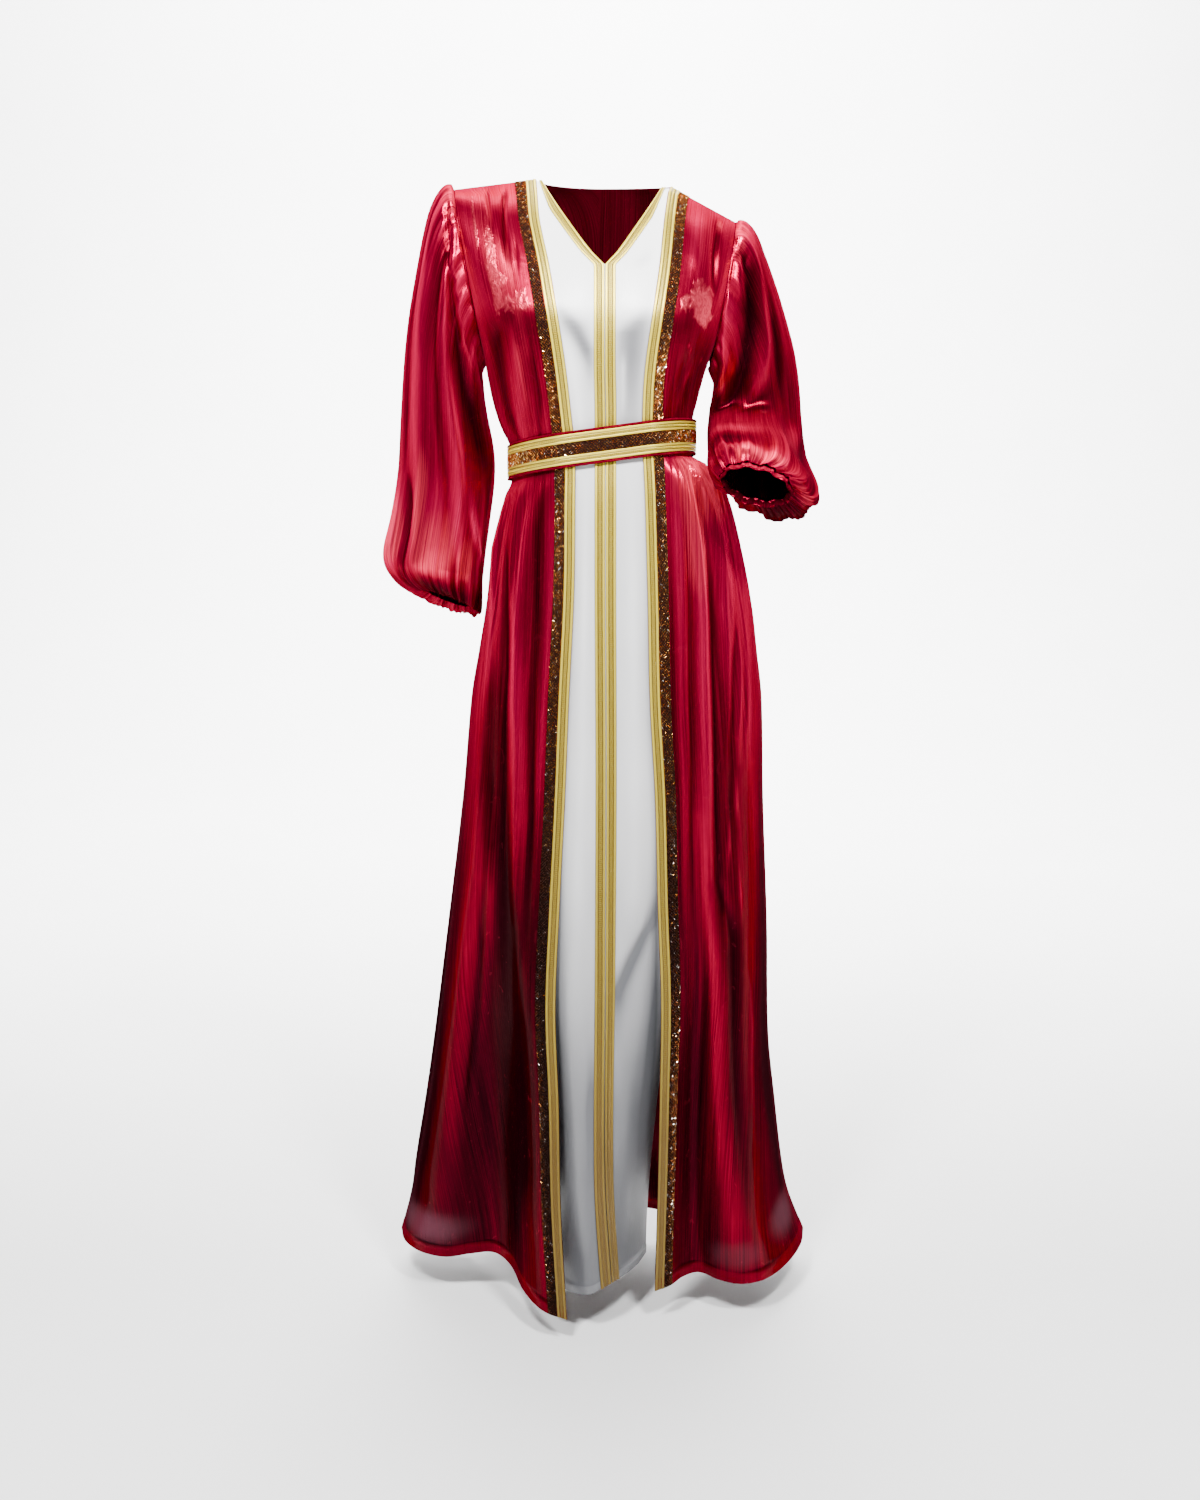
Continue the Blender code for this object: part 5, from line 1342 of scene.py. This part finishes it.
def sleeve_gathers(degrees, share, seed):
    """Height of fine uneven gathers at a sleeve's head and cuff, and their painted highlight."""
    rng = np.random.default_rng(seed)
    height = np.zeros_like(degrees)
    for count, start, full, fall, end, most in GATHERS:
        centres = spread_out(rng, count, 0.2) * 360.0
        width = rng.uniform(0.25, 0.45, count) / count * 360.0
        rise = rng.uniform(0.4, 1.0, count) * most
        early = rng.uniform(0.0, 0.6, count) * (full - start)
        late = rng.uniform(0.0, 0.7, count) * (end - fall)
        weight = smooth(0.0, 1.0, (share - start - early) / (full - start))
        gone = (share - fall) / np.maximum(end - fall - late, 1e-3)
        weight = weight * (1.0 - smooth(0.0, 1.0, gone))
        away = turned(degrees[:, None], centres)
        height += (weight * rise * np.exp(-((away / width) ** 2))).sum(axis=1)
    return height, height * GATHER_PAINTED_SHADING


def spokes_round(angles, across, front):
    """The half-vectors from a ring's centre at some angles, and their lengths."""
    spoke = np.outer(np.cos(angles), across) + np.outer(np.sin(angles), front)
    return spoke, np.linalg.norm(spoke, axis=1, keepdims=True)


def tube(name, grid, outward, node, marks):
    """A gathered red piece that is closed round."""
    normals = facing(grid, outward, closed=True)
    piece = shell(name, grid, normals, "red_satin", node, marks, closed=True)
    declared_sheet(piece, grid, closed=True)


def sleeve(side):
    """A bishop sleeve with its gathers and folds."""
    rings, sides, passes = FINE_SLEEVE
    last = len(RINGS[side]) - 1
    angles = np.linspace(0.0, 2 * math.pi, sides, endpoint=False)
    degrees = np.degrees(angles)
    near_rows = body_reach(side)
    grid, spokes = np.zeros((rings, sides, 3)), np.zeros((rings, sides, 3))
    rise, shade, streaked = (np.zeros((rings, sides)) for _ in range(3))
    for k, number in enumerate(np.linspace(0.0, last, rings)):
        share = number / last
        centre, across, front = sleeve_line(side, number)
        spoke, length = spokes_round(angles, across, front)
        grid[k] = centre + spoke * (1 + sleeve_wave(share, angles)[:, None] / length)
        if number > CLEAR_RINGS[0]:
            near = float(smooth(*CLEAR_RINGS, number))
            gap = SLEEVE_CLEAR * near + LAY_GAP * (1 - near)
            inner = SIGN[side] * spoke[:, 0] < INNER_SHARE * np.abs(spoke[:, 0]).max()
            grid[k, inner] = kept_clear(grid[k, inner], side, near_rows, gap)
        spokes[k] = spoke / length
        # Painted shading: fold ridges and gathers lighter, valleys darker, and lighter or darker
        # along the sleeve; then streaks of painted pink highlight.
        folds, tone = sleeve_folds_on(degrees, share, side)
        more, gather_highlight = sleeve_gathers(degrees, share, len(side))
        rise[k] = folds + more
        shade[k] = tone + gather_highlight + np.interp(share, *SLEEVE_PAINTED_SHADING[side])
        patches = about(SLEEVE_STREAKED_HIGHLIGHT[side], STREAKED_MIDDLE)
        streaked[k] = patches_on(turned(degrees, STREAKED_MIDDLE), share, patches)
    steps = np.linspace(0.0, 1.0, rings)
    for (at, reach), times in zip(SLEEVE_EASE, passes):
        grid = eased(grid, steps, at, reach, times)
    outward = facing(grid, spokes, closed=True)
    marks = {"shade": shade, "streaked": streaked}
    tube(f"arm_{side}", grid + outward * rise[:, :, None], outward, f"sleeve_{side}", marks)


def cuff(side):
    """The scrunched elastic casing at the hand."""
    centre, across, front = sleeve_line(side, len(RINGS[side]) - 1)
    axis = unit(np.array(CUFF_AXIS[side]))
    angles = np.linspace(0.0, 2 * math.pi, CUFF_SIDES, endpoint=False)
    spoke, length = spokes_round(angles, across, front)
    rng = np.random.default_rng(CUFF_SEED + len(side))
    places = spread_out(rng, SCRUNCHES, 0.25) * 2 * math.pi
    lean = rng.uniform(-SCRUNCH_LEAN, SCRUNCH_LEAN, SCRUNCHES)
    rise = rng.uniform(0.6, 1.0, SCRUNCHES) * SCRUNCH_HEIGHT
    # Painted light and shade on the casing: a dark base, a lighter top on the left cuff, and
    # scrunches painted lighter than the hollows between them.
    lit, base = CUFF_PAINTED_SHADING[side]
    grid, shade = [], []
    for share in np.linspace(0.0, 1.0, CUFF_ROWS):
        away = (angles[:, None] - places - lean * share + math.pi) % (2 * math.pi) - math.pi
        bumps = (rise * np.exp(-((away / SCRUNCH_WIDTH) ** 2))).sum(axis=1)
        puff = math.sin(math.pi * share) ** CUFF_PUFF_POWER
        wave = sleeve_wave(1.0, angles) - CUFF_INSET[side] - LAY_GAP
        grow = CUFF_FLARE[side] * share + bumps * puff + CUFF_PUFF * puff
        line = axis * (CUFF_LENGTH[side] * share - CUFF_BACK)
        grid.append(centre + spoke * (1 + (wave + grow)[:, None] / length) + line)
        high = (bumps - CUFF_PUFF) * GATHER_PAINTED_SHADING
        shade.append(base + lit * np.maximum(np.sin(angles), 0.0) + high)
    grid = np.array(grid)
    outward = np.broadcast_to(spoke / length, grid.shape)
    tube(f"wrist_{side}", grid, outward, f"cuff_{side}", {"shade": shade})


def belt():
    """The belt: a red band with piped edges, two gold braids and a sequin strip."""
    half = BELT_HEIGHT / 2
    on_cloth = BELT_STANDOFF + BELT_WALL
    on_band = on_cloth + LAY_GAP
    edge = [(more, half - down) for down, more in BELT_EDGE_LINE]
    rows = edge + [(0.0, 0.0)] + [(more, -height) for more, height in edge[::-1]]
    grid = np.array([belt_ring(on_cloth + more, height) for more, height in rows])
    away = (grid - grid.mean(axis=(0, 1))) * [1.0, 1.0, 0.0]
    # The band's colour is set a little darker all over, through its painted-shading mark.
    marks = {"shade": np.full(grid.shape[:2], BELT_SHADE)}
    normals = facing(grid, away, closed=True)
    band = shell("waistband", grid, normals, "red_satin", "belt_band", marks, BELT_CLOTH, True)
    declared_sheet(band, grid, closed=True)
    top = half - BELT_EDGE
    middle = top - BELT_BRAID
    for name, low, high in (("upper", middle, top), ("lower", -top, -middle)):
        strip, normals = round_strip(belt_ring(on_band, high), belt_ring(on_band, low))
        ribbon(f"belt_{name}", strip, normals, f"belt_braid_{name}", 0.0)
    strip, normals = round_strip(belt_ring(on_band, middle), belt_ring(on_band, -middle))
    sequins("belt_sequins", strip, normals, "belt_sequin_strip", BELT_SEED, 0.0)


def round_strip(*rings):
    """A strip between two rings, opened at the back, with its outward normals."""
    opened = [np.roll(ring, -int(np.argmax(ring[:, 1])), axis=0) for ring in rings]
    a, b = (np.vstack([ring, ring[:1]]) for ring in opened)
    normal = unit(np.cross(np.gradient(a, axis=0), b - a))
    if (normal * (a - a.mean(axis=0))).sum() < 0:
        normal = -normal
    return np.stack([a, (a + b) / 2, b], axis=1), np.repeat(normal[:, None], 3, axis=1)


class Nodes:
    """Short steps for building a material."""

    def __init__(self, name):
        self.made = bpy.data.materials.new(name)
        self.made.use_nodes = True
        self.tree = self.made.node_tree
        self.shader = self.tree.nodes["Principled BSDF"]

    def feed(self, socket, value):
        """Sets a socket to a number, a colour or a vector, or links it."""
        if isinstance(value, (int, float)):
            socket.default_value = value
        elif isinstance(value, tuple):
            socket.default_value = (*value, 1.0)[:len(socket.default_value)]
        else:
            self.tree.links.new(value, socket)

    def add(self, kind, inputs=None, **values):
        node = self.tree.nodes.new(kind)
        for key, value in values.items():
            setattr(node, key, value)
        for key, value in (inputs or {}).items():
            self.feed(node.inputs[key], value)
        return node

    def cloth(self, across, down, offset=0.0):
        """The cloth map in metres, scaled: how many repeats for a metre across and down."""
        uv = self.add("ShaderNodeUVMap", uv_map="cloth").outputs["UV"]
        inputs = {"Scale": (across, down, 1.0), "Location": (offset, offset, 0.0), "Vector": uv}
        return self.add("ShaderNodeMapping", inputs).outputs["Vector"]

    def noise(self, vector, scale=1.0, detail=2.0, roughness=0.5, distortion=0.0):
        return self.add("ShaderNodeTexNoise", {
            "Scale": scale, "Detail": detail, "Roughness": roughness, "Distortion": distortion,
            "Vector": vector,
        }).outputs["Fac"]

    def attribute(self, name):
        return self.add("ShaderNodeAttribute", attribute_name=name).outputs["Fac"]

    def ramp(self, value, stops):
        node = self.add("ShaderNodeValToRGB", {"Fac": value})
        ramp = node.color_ramp
        while len(ramp.elements) < len(stops):
            ramp.elements.new(0.5)
        for element, (place, colour) in zip(ramp.elements, stops):
            element.position = place
            element.color = (*colour, 1.0)
        return node.outputs["Color"]

    def scaled(self, value, low, high, from_low=0.0, from_high=1.0):
        return self.add("ShaderNodeMapRange", {
            "Value": value, "From Min": from_low, "From Max": from_high, "To Min": low,
            "To Max": high,
        }).outputs["Result"]

    def math(self, operation, a, b=0.0):
        return self.add("ShaderNodeMath", {0: a, 1: b}, operation=operation).outputs["Value"]

    def plus(self, a, b, share):
        """The sum of one value and a share of another."""
        return self.math("ADD", a, self.math("MULTIPLY", b, share))

    def mix(self, share, a, b):
        return self.add("ShaderNodeMix", {0: share, 6: a, 7: b}, data_type="RGBA").outputs[2]

    def bump(self, height, strength, distance):
        inputs = {"Strength": strength, "Distance": distance, "Height": height}
        self.put(Normal=self.add("ShaderNodeBump", inputs).outputs["Normal"])

    def put(self, **values):
        for key, value in values.items():
            self.feed(self.shader.inputs[key.replace("_", " ")], value)


def red_look():
    """Crimson satin-organza: fine streaks down the cloth, painted pink highlights and shade."""
    m = Nodes("red_satin")
    broad = m.noise(m.cloth(40, 1.6), detail=3.0, roughness=0.55)
    fine = m.noise(m.cloth(640, 5.0, 3.0), detail=3.0, roughness=0.6)
    grain = m.noise(m.cloth(1700, 70.0, 7.0))
    crumple = m.noise(m.cloth(60, 42.0, 5.0), detail=3.0, distortion=1.4)
    streak = m.plus(m.math("MULTIPLY", broad, 0.35), fine, 0.65)
    tone = m.math("ADD", m.scaled(streak, -0.24, 0.24, 0.25, 0.75), 0.5)
    # Painted shading: ridges and the upper dress lighter, valleys and the lower skirt darker.
    colour = m.ramp(m.plus(tone, m.attribute("shade"), 0.4), [
        (0.0, (0.007, 0.0, 0.0008)), (0.2, (0.035, 0.0001, 0.003)),
        (0.38, (0.11, 0.0001, 0.007)), (0.54, (0.24, 0.0001, 0.018)),
        (0.72, (0.41, 0.0003, 0.038)), (0.9, (0.6, 0.002, 0.066)), (1.0, (0.82, 0.024, 0.13)),
    ])
    # Pink patches of painted highlight, crumpled in their colour and in their bump.
    patch = m.math("ADD", m.attribute("crumpled"), m.scaled(crumple, -0.45, 0.45, 0.3, 0.7))
    patch = m.scaled(patch, 0.0, 0.8, 0.42, 0.95)
    vein = m.noise(m.cloth(150, 90.0, 2.0), distortion=2.0)
    patch = m.math("MULTIPLY", patch, m.scaled(vein, 0.55, 1.0, 0.36, 0.6))
    colour = m.mix(patch, colour, (0.92, 0.065, 0.115))
    # Streaks of painted pink highlight.
    pale = m.math("MULTIPLY", m.attribute("streaked"), m.scaled(fine, 0.25, 1.5, 0.36, 0.62))
    colour = m.mix(m.scaled(pale, 0.0, 0.9, 0.12, 1.0), colour, (0.9, 0.034, 0.085))
    colour = m.mix(m.math("MULTIPLY", m.attribute("hem"), 0.35), colour, (0.16, 0.0003, 0.008))
    colour = m.mix(m.math("MULTIPLY", m.attribute("sheer"), 0.75), colour, (0.075, 0.026, 0.036))
    edge = m.add("ShaderNodeLayerWeight").outputs["Facing"]
    m.put(Base_Color=colour, Roughness=m.scaled(fine, 0.23, 0.37), Anisotropic=0.6,
          Metallic=m.scaled(edge, 0.84, 0.0, 0.25, 0.62), Specular_Tint=(1.0, 0.13, 0.34),
          Specular_IOR_Level=m.scaled(edge, 0.35, 0.0, 0.1, 0.45), Sheen_Weight=0.02,
          Sheen_Roughness=0.3, Sheen_Tint=(1.0, 0.2, 0.3))
    height = m.plus(m.math("MULTIPLY", fine, 0.25), grain, 0.08)
    m.bump(m.plus(height, crumple, m.scaled(patch, 0.35, 1.8)), 0.45, 0.0016)
    tangent = m.add("ShaderNodeTangent", direction_type="UV_MAP", uv_map="cloth")
    m.put(Tangent=tangent.outputs["Tangent"])
    return m.made


def white_look():
    """Pearl satin, painted bright on the chest and painted grey shade where it turns down."""
    m = Nodes("white_satin")
    fine = m.noise(m.cloth(700, 90.0))
    broad = m.noise(m.cloth(14, 3.0, 2.0))
    # Painted shading: bright on the chest, grey below it and darker towards the hem.
    tone = m.plus(m.scaled(broad, 0.42, 0.58, 0.3, 0.7), m.attribute("shade"), 0.45)
    colour = m.ramp(m.plus(tone, m.attribute("hem"), 0.1), [
        (0.0, (0.088, 0.09, 0.098)), (0.25, (0.265, 0.265, 0.275)), (0.5, (0.53, 0.53, 0.54)),
        (0.75, (0.79, 0.79, 0.8)), (1.0, (1.0, 1.0, 1.0)),
    ])
    m.put(Base_Color=colour, Roughness=m.scaled(fine, 0.26, 0.38), Sheen_Weight=0.1,
          Sheen_Roughness=0.4)
    m.bump(m.plus(m.math("MULTIPLY", fine, 0.2), broad, 2.0), 0.35, 0.003)
    return m.made


def gold_look():
    """Woven gilt thread: pale flat edges, dark lines, olive stitches down the middle."""
    m = Nodes("gold_braid")
    uv = m.add("ShaderNodeUVMap", uv_map="cloth").outputs["UV"]
    parts = m.add("ShaderNodeSeparateXYZ", {"Vector": uv})
    tone = m.ramp(m.math("ABSOLUTE", parts.outputs["X"]), [
        (0.0, (0.26, 0.18, 0.008)), (0.26, (0.34, 0.25, 0.01)), (0.35, (0.06, 0.032, 0.002)),
        (0.43, (0.1, 0.055, 0.002)), (0.5, (0.58, 0.43, 0.018)), (0.66, (0.82, 0.64, 0.042)),
        (0.9, (0.7, 0.53, 0.03)), (1.0, (0.22, 0.13, 0.005)),
    ])
    tone = m.mix(m.attribute("chain"), tone, (0.7, 0.53, 0.026))
    speck = m.noise(m.cloth(9.0, 1300.0))
    tone = m.mix(m.scaled(speck, 0.0, 0.55, 0.55, 0.72), tone, (1.0, 0.93, 0.42))
    tone = m.mix(m.scaled(speck, 0.55, 0.0, 0.28, 0.42), tone, (0.2, 0.12, 0.01))
    # Painted shade: the gilt darker towards the bottom of the dress.
    low = m.scaled(m.attribute("level"), 0.9, 0.0, -1.25, -0.3)
    tone = m.mix(low, tone, (0.085, 0.04, 0.003))
    m.put(Base_Color=tone, Roughness=m.scaled(speck, 0.24, 0.5), Metallic=0.5)
    m.bump(speck, 0.4, 0.0003)
    return m.made


def sequin_look():
    """Copper and bronze sequins of uneven tone, a few of them painted near-white as glints."""
    m = Nodes("copper_sequin")
    tone = m.attribute("tone")
    colour = m.ramp(tone, [
        (0.0, (0.11, 0.028, 0.007)), (0.3, (0.25, 0.078, 0.016)), (0.6, (0.46, 0.18, 0.036)),
        (0.84, (0.8, 0.42, 0.105)), (0.95, (1.0, 0.76, 0.42)),
    ])
    # Painted shade: the sequins darker towards the bottom of the dress.
    low = m.scaled(m.attribute("level"), 0.92, 0.0, -0.95, -0.6)
    colour = m.mix(low, colour, (0.026, 0.005, 0.002))
    # Painted glints: sequins in one narrow band of tone are near-white.
    colour = m.mix(m.scaled(tone, 0.0, 1.0, 0.935, 0.945), colour, (1.0, 0.95, 0.92))
    m.put(Base_Color=colour, Roughness=m.scaled(tone, 0.36, 0.14), Metallic=1.0,
          Specular_Tint=(0.75, 0.4, 0.22))
    return m.made


def net_look():
    """The dark net under the sequins."""
    m = Nodes("dark_net")
    speck = m.noise(m.cloth(6.0, 900.0))
    colour = m.ramp(speck, [(0.35, (0.004, 0.001, 0.001)), (0.7, (0.016, 0.005, 0.003))])
    m.put(Base_Color=colour, Roughness=0.7, Specular_IOR_Level=0.08)
    m.bump(speck, 0.5, 0.0003)
    return m.made


def stage_look(name, colour):
    """A matt surface, a little uneven in tone."""
    m = Nodes(name)
    place = m.add("ShaderNodeTexCoord").outputs["Object"]
    tint = m.noise(place, scale=3.0, detail=3.0)
    stops = [(0.3, colour), (0.7, tuple(c * 1.03 for c in colour))]
    m.put(Base_Color=m.ramp(tint, stops), Roughness=0.8)
    return m.made


def studio():
    """Floor swept up into a backdrop, lights and camera."""
    turns = np.linspace(0.1, math.pi / 2, 14)
    bend = [(SWEEP_Y + SWEEP * math.sin(a), SWEEP - SWEEP * math.cos(a)) for a in turns]
    profile = [(SWEEP_FRONT, 0.0), (SWEEP_Y, 0.0), *bend, (SWEEP_Y + SWEEP, SWEEP_TOP)]
    points = [(x, y, FLOOR_Z + z) for x in (-SWEEP_SIDE, SWEEP_SIDE) for y, z in profile]
    count = len(profile)
    mesh = bpy.data.meshes.new("sweep")
    mesh.from_pydata(points, [], [(n, n + count, n + count + 1, n + 1) for n in range(count - 1)])
    mesh.materials.append(stage_look("sweep_look", SWEEP_COLOUR))
    mesh.shade_smooth()
    linked("sweep", mesh)
    for name, at, aim, size, power in LIGHTS:
        light = bpy.data.lights.new(name, "AREA")
        light.size, light.energy = size, power
        lamp = linked(name, light)
        lamp.location = at
        lamp.rotation_euler = (Vector(aim) - Vector(at)).to_track_quat("-Z", "Y").to_euler()
    world = bpy.data.worlds.new("soft")
    world.use_nodes = True
    world.node_tree.nodes["Background"].inputs["Color"].default_value = (1.0, 1.0, 1.0, 1.0)
    world.node_tree.nodes["Background"].inputs["Strength"].default_value = WORLD_STRENGTH
    bpy.context.scene.world = world
    view = bpy.data.cameras.new("view")
    view.lens, view.sensor_width = CAMERA_LENS, 36.0
    camera = linked("view", view)
    camera.location = CAMERA_AT
    camera.rotation_euler = (math.radians(90.0 - CAMERA_PITCH), 0.0, 0.0)
    bpy.context.scene.camera = camera


LOOKS = {
    "red_satin": red_look(),
    "white_satin": white_look(),
    "gold_braid": gold_look(),
    "copper_sequin": sequin_look(),
    "net": net_look(),
}
RINGS = {side: ring_table(side) for side in SIDES}

robe_backs()
for side in SIDES:
    robe_front(side)
    sleeve(side)
    cuff(side)
white_panels()
belt()
studio()
